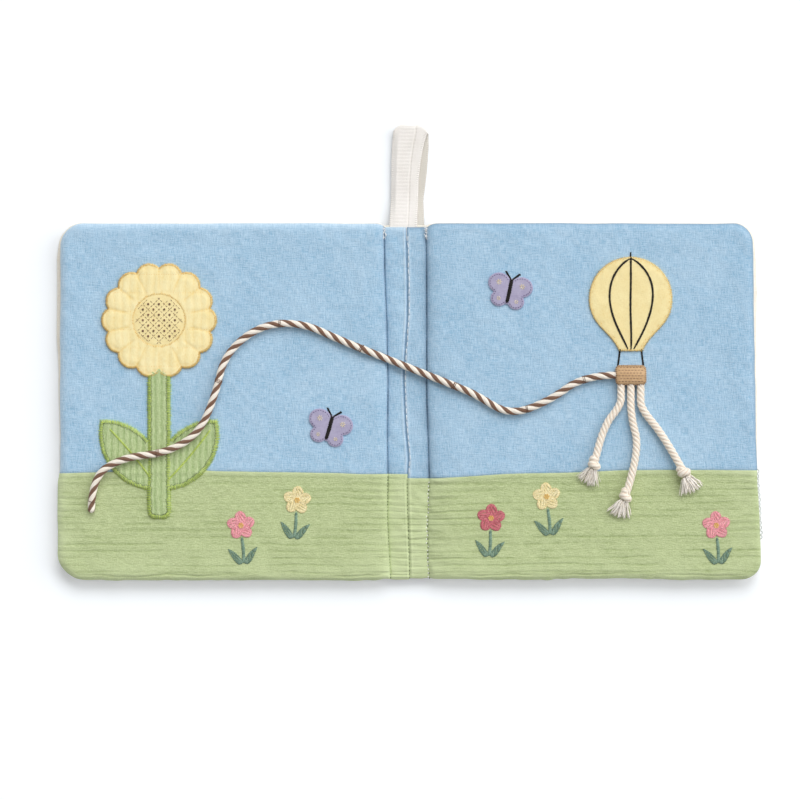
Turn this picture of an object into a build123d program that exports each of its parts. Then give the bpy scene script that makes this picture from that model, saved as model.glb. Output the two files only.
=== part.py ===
from build123d import *
import math
import os

# A soft cloth activity book, lying open and flat on its cover.
# Two folded cloths, each quilted over wadding on both sides of a narrow spine, are laid one on the
# other and sewn together along two rows of stitching. Each row is a fold line of the cover.
# x runs across the spread, y up the pages and z up from the table. The pages are drawn about the
# middle of the spread, and the whole book is then moved so that its outline is centred.

# Driving dimensions, in millimetres
PAGE_WIDTH = 182.0
PAGE_HEIGHT = 200.0
SPINE_WIDTH = 23.0
CORNER_RADIUS = 11.0
LEAF_THICKNESS = 5.2
EDGE_ROUND = 2.2
COTTON = 0.6
CORDUROY = 1.1
SEWN_CLOTH = 0.6
VALLEY_RUN = 9.5
FOLD_GAP = 0.3
HORIZON_RIGHT = (-41.7, -39.0, -37.2, -37.4)
HORIZON_LEFT = (-39.6, -38.4, -37.2, -39.0)
FELT = 1.2
SEAT_GAP = 0.15

TAPE_WIDTH = 15.5
TAPE_THICKNESS = 1.2
TAPE_TAB = 12.0
LOOP_REACH = 53.0
LOOP_OPENING = 4.8
LOOP_FOLD_RADIUS = 3.4
LOOP_SPREAD = 13.0
LOOP_EASE_RADIUS = 12.0
LOOP_SEWN_SHUT = 5.0

ROPE_DIAMETER = 4.4
ROPE_SPACING = 5.5
CORD_DIAMETER = 4.2
KNOT_DIAMETER = 8.0
FRAY_DIAMETER = 6.4
FRAY_LENGTH = 10.0
CORD_SAG = 2.6
CORD_CROSSING_Y = 20.0
CORD_SLANT = -0.4
CORD_JOIN_ON_PAGE = 12.0
CORD_CORNER_ON_PAGE = 6.5
CORD_CORNER_IN_SPINE = 1.0
CORD_JOIN_IN_SPINE = 6.5

BALLOON_WIDTH = 46.0
BALLOON_HEIGHT = 52.0
BALLOON_MOUTH = 13.0
BALLOON_WAIST_DROP = 9.0
BALLOON_FROM_FOLD = 112.5
BALLOON_CENTRE_Y = 58.0
BASKET_WIDTH = 17.0
BASKET_HEIGHT = 11.0
BASKET_DROP = 8.0
BASKET_CORNER = 2.5

FLOWER_FROM_FOLD = 126.5
FLOWER_CENTRE_Y = 46.0
FLOWER_DIAMETER = 64.0
SEED_DIAMETER = 30.0
PETAL_COUNT = 14
PETAL_OVERLAP = 1.05
STEM_WIDTH = 12.0
STEM_CORNER = 4.0
STEM_FOOT_Y = -64.0
STEM_TUCK = 10.0
BLADE_LENGTH = 50.0
BLADE_WIDTH = 25.0
BLADE_BELLY = 22.0
BLADE_FOOT_Y = -48.0
BLADE_LEAN = 40.0

BUTTERFLY_BODY = (1.6, 7.5)
BUTTERFLY_UPPER_WING = (6.2, 5.6)
BUTTERFLY_UPPER_PLACE = (6.3, 3.6)
BUTTERFLY_LOWER_WING = (4.6, 4.4)
BUTTERFLY_LOWER_PLACE = (4.8, -4.8)
BUTTERFLIES = (("right", 45.0, 62.0, -12.0), ("left", 32.0, -14.0, 16.0))

# Worked out from the driving dimensions
FOLD_X = SPINE_WIDTH / 2
STACK = 4 * SEWN_CLOTH
BEAD_RADIUS = STACK / 2
LEAF_START = BEAD_RADIUS + FOLD_GAP
COVER_TOP = LEAF_THICKNESS
PAGE_TOP = 2 * LEAF_THICKNESS
FOLD_HEIGHT = COVER_TOP
STACK_FLOOR = FOLD_HEIGHT - BEAD_RADIUS
PAGE_SHIFT = -LOOP_REACH / 2
FAR = 2 * (PAGE_WIDTH + PAGE_HEIGHT)

parts = {}


def keep(name, *shapes):
    """Store one named piece, moved from the middle of the spread to the book's own frame."""
    solids = [solid for shape in shapes for solid in shape.solids()]
    moved = [Pos(0, PAGE_SHIFT, 0) * solid for solid in solids]
    parts[name] = moved[0] if len(moved) == 1 else Compound(children=moved)


def placed(side, shape):
    """Put a shape drawn outwards from the fold line on the right or the left page."""
    if side == "right":
        return Pos(FOLD_X, 0, 0) * shape
    return mirror(Pos(FOLD_X, 0, 0) * shape, about=Plane.YZ)


# The quilted leaves

def page_outline(inset):
    """Plan of one page, with round outer corners, `inset` inside its finished edge."""
    width = PAGE_WIDTH - inset
    height = PAGE_HEIGHT - 2 * inset
    page = Pos(width / 2, 0) * Rectangle(width, height)
    corners = page.vertices().group_by(Axis.X)[-1]
    return fillet(corners, CORNER_RADIUS - inset)


def easing(start, end):
    """A level start that swings up or down to a level end, as two equal arcs or one line."""
    run = end[0] - start[0]
    rise = end[1] - start[1]
    if math.isclose(start[1], end[1]):
        return [Line(start, end)]
    turn = 2 * math.atan(rise / run)
    radius = run / (2 * math.sin(abs(turn)))
    swing = math.degrees(turn)
    first = JernArc(start=start, tangent=(1, 0), radius=radius, arc_size=swing)
    second = JernArc(start=first @ 1, tangent=first % 1, radius=radius, arc_size=-swing)
    return [first, second]


def leaf_profile(low, high, root_low, root_high, inset):
    """Section across a leaf: full height over the page, thin where the fold stitching holds it."""
    start = LEAF_START + 2 * inset
    full = LEAF_START + VALLEY_RUN + inset
    if inset:
        root_low = root_high = (root_low + root_high) / 2
    upper = easing((start, root_high), (full, high - inset))
    lower = easing((start, root_low), (full, low + inset))
    rim = Polyline(upper[-1] @ 1, (FAR, high - inset), (FAR, low + inset), lower[-1] @ 1)
    edges = [*upper, *lower, rim]
    if not inset:
        edges.append(Line(upper[0] @ 0, lower[0] @ 0))
    return make_face(Plane.XZ * Curve(children=edges))


def leaf_form(low, high, root_low, root_high, inset=0.0):
    """Closed form of one leaf, drawn `inset` inside its finished surface."""
    block = Pos(0, 0, low + inset) * extrude(page_outline(inset), high - low - 2 * inset)
    soft_edges = block.edges().filter_by(Plane.XY)
    soft_edges = [edge for edge in soft_edges if edge.center().X > LEAF_START]
    if inset:
        block = chamfer(soft_edges, EDGE_ROUND - inset)
    else:
        block = fillet(soft_edges, EDGE_ROUND)
    profile = leaf_profile(low, high, root_low, root_high, inset)
    return block & extrude(profile, FAR, both=True)


def below_seam(seam, root_seam):
    """Everything under the seam round a leaf's edge, which rises or sinks towards the fold."""
    start = LEAF_START + 2 * COTTON
    full = LEAF_START + VALLEY_RUN + COTTON
    slope = easing((start, root_seam), (full, seam))
    ends = ((FAR, seam), (FAR, -FAR), (0, -FAR), (0, root_seam))
    frame = Polyline(slope[-1] @ 1, *ends, slope[0] @ 0)
    return extrude(make_face(Plane.XZ * Curve(children=[*slope, frame])), FAR, both=True)


def below_horizon(heights):
    """Everything under the wavy line where the corduroy ground meets the sky cloth."""
    step = PAGE_WIDTH / (len(heights) - 1)
    points = [(step * index, height) for index, height in enumerate(heights)]
    wave = Spline(*points)
    frame = Polyline(
        wave @ 1, (FAR, heights[-1]), (FAR, -FAR), (-FAR, -FAR), (-FAR, heights[0]), wave @ 0
    )
    return extrude(make_face(Curve(children=[wave, frame])), FAR, both=True)


def corduroy_bed(ground):
    """The shallow step in a page's wadding that takes the thicker cloth of the ground."""
    flat = LEAF_START + VALLEY_RUN + CORDUROY
    level = PAGE_TOP - CORDUROY
    return ground & (Pos(flat + FAR / 2, 0, level + FAR / 2) * Box(FAR, FAR, FAR))


def make_half(side, horizon):
    """The cover leaf and the page leaf on one side of the spine."""
    root = STACK_FLOOR
    cover = (0.0, COVER_TOP, root, root + 2 * SEWN_CLOTH)
    page = (COVER_TOP, PAGE_TOP, root + 2 * SEWN_CLOTH, root + 4 * SEWN_CLOTH)
    ground = below_horizon(horizon)

    core = leaf_form(*cover, inset=COTTON)
    skin = leaf_form(*cover) - core
    under = below_seam(COVER_TOP / 2, root + SEWN_CLOTH)
    keep(side + "_cover_outer", placed(side, skin & under))
    keep(side + "_cover_wadding", placed(side, core))
    keep(side + "_cover_lining", placed(side, skin - under))

    form = leaf_form(*page)
    core = leaf_form(*page, inset=COTTON)
    under = below_seam((COVER_TOP + PAGE_TOP) / 2, root + 3 * SEWN_CLOTH)
    skin = form - core
    core -= corduroy_bed(ground)
    keep(side + "_page_backing", placed(side, skin & under))
    keep(side + "_page_wadding", placed(side, core))
    keep(side + "_sky_panel", placed(side, skin - under - ground))
    keep(side + "_grass_panel", placed(side, (form & ground) - under - core))


# The spine and its hanging loop

def spine_layer(index):
    """One of the four cloths pressed together in the spine, counted up from the cover."""
    stack = Plane.XZ * (Pos(0, FOLD_HEIGHT) * SlotCenterToCenter(SPINE_WIDTH, STACK))
    whole = extrude(stack, PAGE_HEIGHT / 2, both=True)
    level = STACK_FLOOR + (index + 0.5) * SEWN_CLOTH
    return whole & (Pos(0, 0, level) * Box(FAR, FAR, SEWN_CLOTH))


def loop_section(outer):
    """Outer or inner outline of the folded tape, seen along the fold."""
    half = LOOP_OPENING / 2 + (TAPE_THICKNESS if outer else 0)
    middle = FOLD_HEIGHT
    head = PAGE_HEIGHT / 2
    end = head + LOOP_REACH - (0 if outer else TAPE_THICKNESS)
    bend = LOOP_FOLD_RADIUS if outer else LOOP_FOLD_RADIUS - TAPE_THICKNESS
    spread = head + LOOP_SPREAD
    radii = [LOOP_EASE_RADIUS, bend, bend, LOOP_EASE_RADIUS]
    if outer:
        points = [(head, middle - SEWN_CLOTH), (head, middle + SEWN_CLOTH)]
    else:
        points = [(head + LOOP_SEWN_SHUT, middle)]
    radii = [0] * len(points) + radii
    points += [(spread, middle + half), (end, middle + half)]
    points += [(end, middle - half), (spread, middle - half)]
    return make_face(Plane.YZ * FilletPolyline(*points, radius=radii, close=True))


def make_spine():
    """Four cloths sewn through, with the tape's two ends held between the middle pair."""
    tab_height = 2 * SEWN_CLOTH
    tab = Pos(0, PAGE_HEIGHT / 2 - TAPE_TAB / 2, FOLD_HEIGHT) * Box(TAPE_WIDTH, TAPE_TAB, tab_height)
    ring = loop_section(outer=True) - loop_section(outer=False)
    loop = tab + extrude(ring, TAPE_WIDTH / 2, both=True)
    keep("hanging_loop", loop)
    keep("spine_cover", spine_layer(0))
    keep("spine_lining", spine_layer(1) - tab)
    keep("spine_backing", spine_layer(2) - tab)

    face = spine_layer(3)
    right_side = Pos(FAR / 2, 0, 0) * Box(FAR, FAR, FAR)
    right_face = face & right_side
    left_face = face - right_side
    right_ground = Pos(0, HORIZON_RIGHT[0] - FAR / 2, 0) * Box(FAR, FAR, FAR)
    left_ground = Pos(0, HORIZON_LEFT[0] - FAR / 2, 0) * Box(FAR, FAR, FAR)
    keep("spine_sky_strips", right_face - right_ground, left_face - left_ground)
    keep("spine_grass_strips", right_face & right_ground, left_face & left_ground)


# The motifs sewn on the pages

def on_page(side, from_fold, y, outline):
    """Cut a felt shape and lay it on a page at a distance from the fold line."""
    felt = extrude(outline, FELT)
    return placed(side, Pos(from_fold, y, PAGE_TOP) * felt)


def balloon_outline():
    """A round crown drawn in to a narrow mouth."""
    radius = BALLOON_WIDTH / 2
    low = radius - BALLOON_HEIGHT
    waist = -BALLOON_WAIST_DROP
    reach = math.sqrt(radius**2 - waist**2)
    crown = ThreePointArc((-reach, waist), (0, radius), (reach, waist))
    sides = []
    for hand in (-1, 1):
        shoulder = (hand * reach, waist)
        corner = (hand * BALLOON_MOUTH / 2, low)
        sides.append(Spline(shoulder, corner, tangents=((hand * waist, -reach), (-hand, -3))))
    mouth = Line(sides[0] @ 1, sides[1] @ 1)
    return make_face(Curve(children=[crown, *sides, mouth]))


def make_balloon():
    """A felt balloon and, under it, the felt basket that carries the ropes and the cord."""
    keep("balloon", on_page("right", BALLOON_FROM_FOLD, BALLOON_CENTRE_Y, balloon_outline()))
    basket = RectangleRounded(BASKET_WIDTH, BASKET_HEIGHT, BASKET_CORNER)
    keep("balloon_basket", on_page("right", BALLOON_FROM_FOLD, basket_y(), basket))


def basket_y():
    """Height of the basket's middle on the page."""
    mouth = BALLOON_CENTRE_Y + BALLOON_WIDTH / 2 - BALLOON_HEIGHT
    return mouth - BASKET_DROP - BASKET_HEIGHT / 2


def petal_ring():
    """A scalloped ring of petals round the seed head."""
    petal_radius = FLOWER_DIAMETER / 2 * math.sin(math.pi / PETAL_COUNT) * PETAL_OVERLAP
    ring_radius = FLOWER_DIAMETER / 2 - petal_radius
    ring = Circle(ring_radius)
    for index in range(PETAL_COUNT):
        ring += Rot(0, 0, 360 / PETAL_COUNT * index) * Pos(ring_radius, 0) * Circle(petal_radius)
    return ring - Circle(SEED_DIAMETER / 2)


def leaf_blade():
    """A pointed leaf drawn up from its foot, made by two arcs."""
    foot = (0, 0)
    tip = (0, BLADE_LENGTH)
    bellies = [(hand * BLADE_WIDTH / 2, BLADE_BELLY) for hand in (-1, 1)]
    return make_face(Curve(children=[ThreePointArc(foot, belly, tip) for belly in bellies]))


def make_flower():
    """A tall flower with a petal ring, a seed head, a stem and two leaves."""
    petals = petal_ring()
    top = FLOWER_CENTRE_Y - FLOWER_DIAMETER / 2 + STEM_TUCK
    stem_length = top - STEM_FOOT_Y
    stem = Pos(0, STEM_FOOT_Y + stem_length / 2) * Rectangle(STEM_WIDTH, stem_length)
    stem = fillet(stem.vertices().group_by(Axis.Y)[0], STEM_CORNER)
    stem -= Pos(0, FLOWER_CENTRE_Y) * petals
    keep("flower_petals", on_page("left", FLOWER_FROM_FOLD, FLOWER_CENTRE_Y, petals))
    seeds = Circle(SEED_DIAMETER / 2)
    keep("flower_seed_head", on_page("left", FLOWER_FROM_FOLD, FLOWER_CENTRE_Y, seeds))
    keep("flower_stem", on_page("left", FLOWER_FROM_FOLD, 0, stem))
    for name, lean in (("flower_leaf_outer", -BLADE_LEAN), ("flower_leaf_inner", BLADE_LEAN)):
        blade = Pos(0, BLADE_FOOT_Y) * Rot(0, 0, lean) * leaf_blade()
        keep(name, on_page("left", FLOWER_FROM_FOLD, 0, blade - stem))


def butterfly_outline():
    """Two large upper wings and two small lower ones, cut in one piece."""
    shape = Ellipse(*BUTTERFLY_BODY)
    upper_x, upper_y = BUTTERFLY_UPPER_PLACE
    lower_x, lower_y = BUTTERFLY_LOWER_PLACE
    for hand in (-1, 1):
        shape += Pos(hand * upper_x, upper_y) * Ellipse(*BUTTERFLY_UPPER_WING)
        shape += Pos(hand * lower_x, lower_y) * Ellipse(*BUTTERFLY_LOWER_WING)
    return shape


def make_butterflies():
    """Two small felt butterflies, one on each page."""
    for side, from_fold, y, turn in BUTTERFLIES:
        shape = Rot(0, 0, turn) * butterfly_outline()
        keep("butterfly_" + side, on_page(side, from_fold, y, shape))


# The ropes under the basket and the twisted cord across both pages

def corner_radii(name, points):
    """Bend radius at each inner point: 0.45 of the shorter run over the tangent of half the turn."""
    radii = []
    for before, corner, after in zip(points, points[1:], points[2:]):
        run_in = Vector(*corner) - Vector(*before)
        run_out = Vector(*after) - Vector(*corner)
        half_turn = math.radians(run_in.get_angle(run_out)) / 2
        radii.append(0.45 * min(run_in.length, run_out.length) / math.tan(half_turn))
    print(name, "radii", [round(radius, 1) for radius in radii])
    return radii


def tube(name, points, diameter):
    """A round tube along straight runs joined by tangent arcs, and the path it follows."""
    path = FilletPolyline(*points, radius=corner_radii(name, points))
    pieces = []
    for edge in path.edges():
        section = Plane(origin=edge @ 0, z_dir=edge % 0) * Circle(diameter / 2)
        if edge.geom_type == GeomType.LINE:
            pieces.append(extrude(section, edge.length))
        else:
            spoke = edge @ 0 - edge.arc_center
            pivot = Axis(edge.arc_center, spoke.cross(edge % 0))
            swing = math.degrees(edge.length / spoke.length)
            pieces.append(revolve(section, pivot, revolution_arc=swing))
    body = pieces[0].fuse(*pieces[1:])
    expected = math.pi * diameter**2 / 4 * path.length
    print(name, "length", round(path.length, 1), "volume ratio", round(body.volume / expected, 4))
    return body, path


def rope_end(path):
    """The knot at a rope's end and the frayed strands beyond it."""
    neck = ROPE_DIAMETER / 2
    knot = KNOT_DIAMETER / 2
    fray = FRAY_DIAMETER / 2
    bulge = ThreePointArc((neck, 0), (knot, knot), (neck, KNOT_DIAMETER))
    end = KNOT_DIAMETER + FRAY_LENGTH
    rest = Polyline((neck, KNOT_DIAMETER), (fray, end), (0, end), (0, 0), (neck, 0))
    body = revolve(Plane.XZ * make_face(Curve(children=[bulge, rest])), Axis.Z)
    return Plane(origin=path @ 1, z_dir=path % 1) * body


def make_ropes():
    """Three soft ropes that fan out from the basket's lower edge, each with a knotted end."""
    rest = PAGE_TOP + ROPE_DIAMETER / 2 + SEAT_GAP
    knot_rest = PAGE_TOP + KNOT_DIAMETER / 2 + SEAT_GAP
    edge = basket_y() - BASKET_HEIGHT / 2 - SEAT_GAP
    middle = BALLOON_FROM_FOLD
    left = middle - ROPE_SPACING
    right = middle + ROPE_SPACING
    routes = (
        ((left, edge), (left, edge - 11), (left - 10, edge - 23), (left - 14, edge - 40)),
        ((middle, edge), (middle, edge - 17), (middle + 5, edge - 36), (middle - 2, edge - 58)),
        ((right, edge), (right, edge - 13), (right + 12, edge - 27), (right + 22, edge - 45)),
    )
    for number, route in enumerate(routes, start=1):
        name = "rope_" + str(number)
        heights = [rest] * (len(route) - 1) + [knot_rest]
        points = [(FOLD_X + x, y, z) for (x, y), z in zip(route, heights)]
        body, path = tube(name, points, ROPE_DIAMETER)
        keep(name, body)
        keep(name + "_knot", rope_end(path))


def make_cord():
    """The twisted cord: one length on each page, one in the spine and a soft bend over each fold."""
    rest = PAGE_TOP + CORD_DIAMETER / 2 + SEAT_GAP
    over_felt = rest + FELT
    low = rest - CORD_SAG

    def crossing(x, height):
        """A point of the straight stretch that slants across the spine."""
        return (x, CORD_CROSSING_Y + CORD_SLANT * x, height)

    basket_side = FOLD_X + BALLOON_FROM_FOLD - BASKET_WIDTH / 2 - SEAT_GAP
    right = [
        (basket_side, basket_y(), rest),
        (basket_side - 17, basket_y(), rest),
        (FOLD_X + 67, 1, rest),
        (FOLD_X + 45, -7, rest),
        crossing(FOLD_X + CORD_JOIN_ON_PAGE + 14, rest),
        crossing(FOLD_X + CORD_JOIN_ON_PAGE, rest),
    ]
    left = [
        crossing(-FOLD_X - CORD_JOIN_ON_PAGE, rest),
        crossing(-FOLD_X - CORD_JOIN_ON_PAGE - 13, rest),
        (-FOLD_X - 48, 45, rest),
        (-FOLD_X - 71, 43, rest),
        (-FOLD_X - 90, 27, rest),
        (-FOLD_X - 95, 5, over_felt),
        (-FOLD_X - 104, -17, over_felt),
        (-FOLD_X - 123, -28, over_felt),
        (-FOLD_X - 146, -30, over_felt),
        (-FOLD_X - 164, -41, over_felt),
        (-FOLD_X - 164, -61, rest),
    ]
    bends = []
    for end in (right[-1], left[0]):
        side = math.copysign(1, end[0])
        corner = crossing(side * (FOLD_X + CORD_CORNER_ON_PAGE), rest)
        valley = crossing(side * (FOLD_X - CORD_CORNER_IN_SPINE), low)
        bends.append([end, corner, valley, crossing(side * (FOLD_X - CORD_JOIN_IN_SPINE), low)])
    keep("cord_right", tube("cord_right", right, CORD_DIAMETER)[0])
    keep("cord_bend_right", tube("cord_bend_right", bends[0], CORD_DIAMETER)[0])
    start, end = (Vector(*bend[-1]) for bend in bends)
    across = Plane(origin=start, z_dir=end - start)
    keep("cord_spine", extrude(across * Circle(CORD_DIAMETER / 2), (end - start).length))
    keep("cord_bend_left", tube("cord_bend_left", bends[1], CORD_DIAMETER)[0])
    keep("cord_left", tube("cord_left", left, CORD_DIAMETER)[0])


def main():
    """Make every piece and write each one to its own file."""
    make_half("right", HORIZON_RIGHT)
    make_half("left", HORIZON_LEFT)
    make_spine()
    make_balloon()
    make_flower()
    make_butterflies()
    make_ropes()
    make_cord()
    os.makedirs("parts", exist_ok=True)
    for name, shape in parts.items():
        export_step(shape, os.path.join("parts", name + ".step"))
    print(len(parts), "pieces")


main()
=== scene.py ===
"""Looks of a soft cloth activity book that lies open and flat on its padded cover.

Every length inside the classes is in millimetres, measured from the middle of the two pages:
x across the spread, y up the pages and z up from the table. to_frame() turns such points into
metres in the book's own frame when a piece is made.
"""

from __future__ import annotations

import logging
import math
from collections.abc import Callable, Iterable, Sequence
from dataclasses import dataclass
from enum import Enum
from functools import cache
from typing import ClassVar

import bpy
import numpy as np
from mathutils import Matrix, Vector
from mathutils.geometry import delaunay_2d_cdt

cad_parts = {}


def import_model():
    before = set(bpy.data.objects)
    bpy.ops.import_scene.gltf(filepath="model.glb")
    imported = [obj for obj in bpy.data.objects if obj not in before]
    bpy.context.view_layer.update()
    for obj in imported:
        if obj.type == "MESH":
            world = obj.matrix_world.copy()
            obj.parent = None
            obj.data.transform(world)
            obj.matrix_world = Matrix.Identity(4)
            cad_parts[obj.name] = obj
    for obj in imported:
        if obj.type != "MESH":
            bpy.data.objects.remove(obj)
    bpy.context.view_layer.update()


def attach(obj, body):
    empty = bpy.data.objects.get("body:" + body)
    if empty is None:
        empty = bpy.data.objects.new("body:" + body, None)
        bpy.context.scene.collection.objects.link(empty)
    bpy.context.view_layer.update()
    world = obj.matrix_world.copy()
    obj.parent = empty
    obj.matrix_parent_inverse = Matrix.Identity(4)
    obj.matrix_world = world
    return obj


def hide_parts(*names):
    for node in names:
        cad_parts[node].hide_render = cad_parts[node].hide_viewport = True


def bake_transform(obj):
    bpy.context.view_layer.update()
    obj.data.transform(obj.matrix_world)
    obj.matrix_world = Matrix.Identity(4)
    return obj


LOG = logging.getLogger("cloth_book")

MM = 0.001
PAGE_SHIFT = -26.5
FOLD_X = 11.5
PAGE_EDGE = 193.5
HALF_HEIGHT = 100.0
PHOTO_PIXELS = 800
MM_PER_PIXEL = 0.5556
WHITE = (1.0, 1.0, 1.0, 1.0)
UP = np.array([0.0, 0.0, 1.0])

Field = Callable[[np.ndarray, np.ndarray], np.ndarray]


class Side(Enum):
    """One half of the open book, with the sign of its x."""

    RIGHT = 1
    LEFT = -1

    @property
    def word(self) -> str:
        """The side's name as the pieces use it."""
        return self.name.lower()

    @property
    def body(self) -> str:
        """The body that this half of the book moves with."""
        return self.word + "_half"


def to_frame(points: np.ndarray) -> np.ndarray:
    """Turn millimetres about the middle of the pages into metres in the book's frame."""
    return (np.asarray(points, float) + (0.0, PAGE_SHIFT, 0.0)) * MM


def linear(code: str) -> tuple[float, float, float, float]:
    """Turn an sRGB hex value into a linear colour with full alpha.

    Args:
        code: Six hex digits with a leading hash.

    Returns:
        Red, green, blue and alpha as Blender's sockets take them.
    """
    channels = [int(code[start : start + 2], 16) / 255 for start in (1, 3, 5)]
    light = [c / 12.92 if c <= 0.04045 else ((c + 0.055) / 1.055) ** 2.4 for c in channels]
    return (*light, 1.0)


def ease(value: np.ndarray | float, low: float, high: float) -> np.ndarray:
    """Rise smoothly from 0 at low to 1 at high."""
    t = np.clip((np.asarray(value, float) - low) / (high - low), 0, 1)
    return t * t * (3 - 2 * t)


def shoulder(distance: np.ndarray, run: float, power: float) -> np.ndarray:
    """Height of a rounded shoulder, from 0 at its foot to 1 after the given run.

    Args:
        distance: How far in from the foot each point is.
        run: Width of the shoulder.
        power: 2 gives an ellipse, and more gives a squarer shoulder.

    Returns:
        The share of the full height at each point.
    """
    t = np.clip(np.asarray(distance, float) / run, 0, 1)
    return (1 - (1 - t) ** power) ** (1 / power)


def bell(distance: np.ndarray, width: float) -> np.ndarray:
    """Bump of height 1 where the distance is 0, which dies away over the width."""
    return np.exp(-((distance / width) ** 2))


def arc(x: float, y: float, radius: np.ndarray | float, angle: np.ndarray) -> np.ndarray:
    """Plan points at the given angles round a middle."""
    return np.stack([x + radius * np.cos(angle), y + radius * np.sin(angle)], -1)


def run_along(line: np.ndarray) -> np.ndarray:
    """Length along a line up to each of its points."""
    return np.concatenate([[0], np.cumsum(np.linalg.norm(np.diff(line, axis=0), axis=1))])


def read_at(at: np.ndarray, run: np.ndarray, line: np.ndarray) -> np.ndarray:
    """Points of a line at the given lengths, where its own points lie at the lengths in run."""
    return np.stack([np.interp(at, run, column) for column in line.T], -1)


def spread(shape: tuple, *values: np.ndarray | float) -> np.ndarray:
    """Spread each value over the shape and put them side by side on a last axis."""
    return np.stack([np.broadcast_to(value, shape) for value in values], -1)


class Noise:
    """Smooth seeded noise over a plane, from -1 to 1."""

    def __init__(self, seed: int, size: int = 97) -> None:
        """Fill the lattice from the seed."""
        self.lattice = np.random.default_rng(seed).uniform(-1, 1, (size, size))

    def __call__(self, u: np.ndarray, v: np.ndarray) -> np.ndarray:
        """Read the noise.

        Args:
            u: First coordinate, in lattice steps.
            v: Second coordinate, in lattice steps.

        Returns:
            The noise at each point.
        """
        u, v = np.broadcast_arrays(np.asarray(u, float), np.asarray(v, float))
        i, j = np.floor(u).astype(int), np.floor(v).astype(int)
        a, b = u - i, v - j
        a, b = a * a * (3 - 2 * a), b * b * (3 - 2 * b)
        size = len(self.lattice)
        i, j, k, m = i % size, j % size, (i + 1) % size, (j + 1) % size
        grid = self.lattice
        low = grid[i, j] * (1 - a) + grid[k, j] * a
        high = grid[i, m] * (1 - a) + grid[k, m] * a
        return low * (1 - b) + high * b


# Finishes


def add_node(
    tree: bpy.types.NodeTree,
    kind: str,
    inputs: dict | Sequence = (),
    output: int | str = 0,
    **settings: object,
) -> bpy.types.NodeSocket | None:
    """Add one node with its settings, and set or link its inputs.

    Args:
        tree: The material's node tree.
        kind: Blender's name of the node, without its ShaderNode prefix.
        inputs: A value, a hex colour or another node's output for each input, by name or number.
            A list sets the first inputs in order.
        output: The output to give back, by name or number.
        **settings: Attributes of the node.

    Returns:
        The chosen output, or None from a node that has none.
    """
    node = tree.nodes.new("ShaderNode" + kind)
    for key, value in settings.items():
        setattr(node, key, value)
    for key, value in inputs.items() if isinstance(inputs, dict) else enumerate(inputs):
        if isinstance(value, bpy.types.NodeSocket):
            tree.links.new(value, node.inputs[key])
        else:
            node.inputs[key].default_value = linear(value) if isinstance(value, str) else value
    return node.outputs[output] if node.outputs else None


@dataclass(frozen=True)
class Cloth:
    """What all the book's fabrics share: a matt, slightly hairy surface.

    Grains are the finish's noises: the size of a feature along the three pattern axes in
    millimetres, and the octaves of finer noise in it. Marks are the values that it reads from
    the mesh's points.
    """

    name: str
    colour: str
    shade: str
    roughness: float = 0.9
    sheen: float = 0.25
    grains: ClassVar[dict[str, tuple]] = {}
    marks: ClassVar[tuple] = ("tone",)

    def pattern(self, tree: bpy.types.NodeTree, read: dict) -> tuple:
        """Build the share of the paler colour and the height of the surface.

        Args:
            tree: The material's node tree.
            read: The outputs of the finish's grains and marks, by name.

        Returns:
            The share of the colour over the shade, the layers over both, each with its share,
            strength and colour, the height output and the relief's depth in millimetres.
        """
        raise NotImplementedError

    @cache
    def material(self) -> bpy.types.Material:
        """Make the material with the cloth's colour, relief and sheen, once for each finish."""
        made = bpy.data.materials.new(self.name)
        made.use_nodes = True
        tree = made.node_tree
        tree.nodes.clear()
        lay = add_node(tree, "Attribute", output="Vector", attribute_name="lay")
        read = {
            key: add_node(tree, "Attribute", output="Fac", attribute_name=key) for key in self.marks
        }
        for key, (*size, detail) in self.grains.items():
            scaled = add_node(
                tree, "VectorMath", [lay, [1 / s for s in size]], operation="MULTIPLY"
            )
            noise = {"Vector": scaled, "Scale": 1.0, "Detail": detail, "Roughness": 0.55}
            read[key] = add_node(tree, "TexNoise", noise)
        level, layers, height, depth = self.pattern(tree, read)
        colour = self.shade
        for share, strength, over in [(level, 1, self.colour), *layers]:
            if strength != 1:
                share = add_node(tree, "Math", [share, strength], operation="MULTIPLY")
            colour = add_node(tree, "Mix", {0: share, 6: colour, 7: over}, 2, data_type="RGBA")
        bump = add_node(tree, "Bump", {"Height": height, "Strength": 1.0, "Distance": depth * MM})
        look = {
            "Base Color": colour, "Roughness": self.roughness, "Specular IOR Level": 0.2,
            "Sheen Weight": self.sheen, "Sheen Roughness": 0.5, "Normal": bump,
        }
        add_node(tree, "OutputMaterial", {"Surface": add_node(tree, "BsdfPrincipled", look)})
        return made


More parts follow.
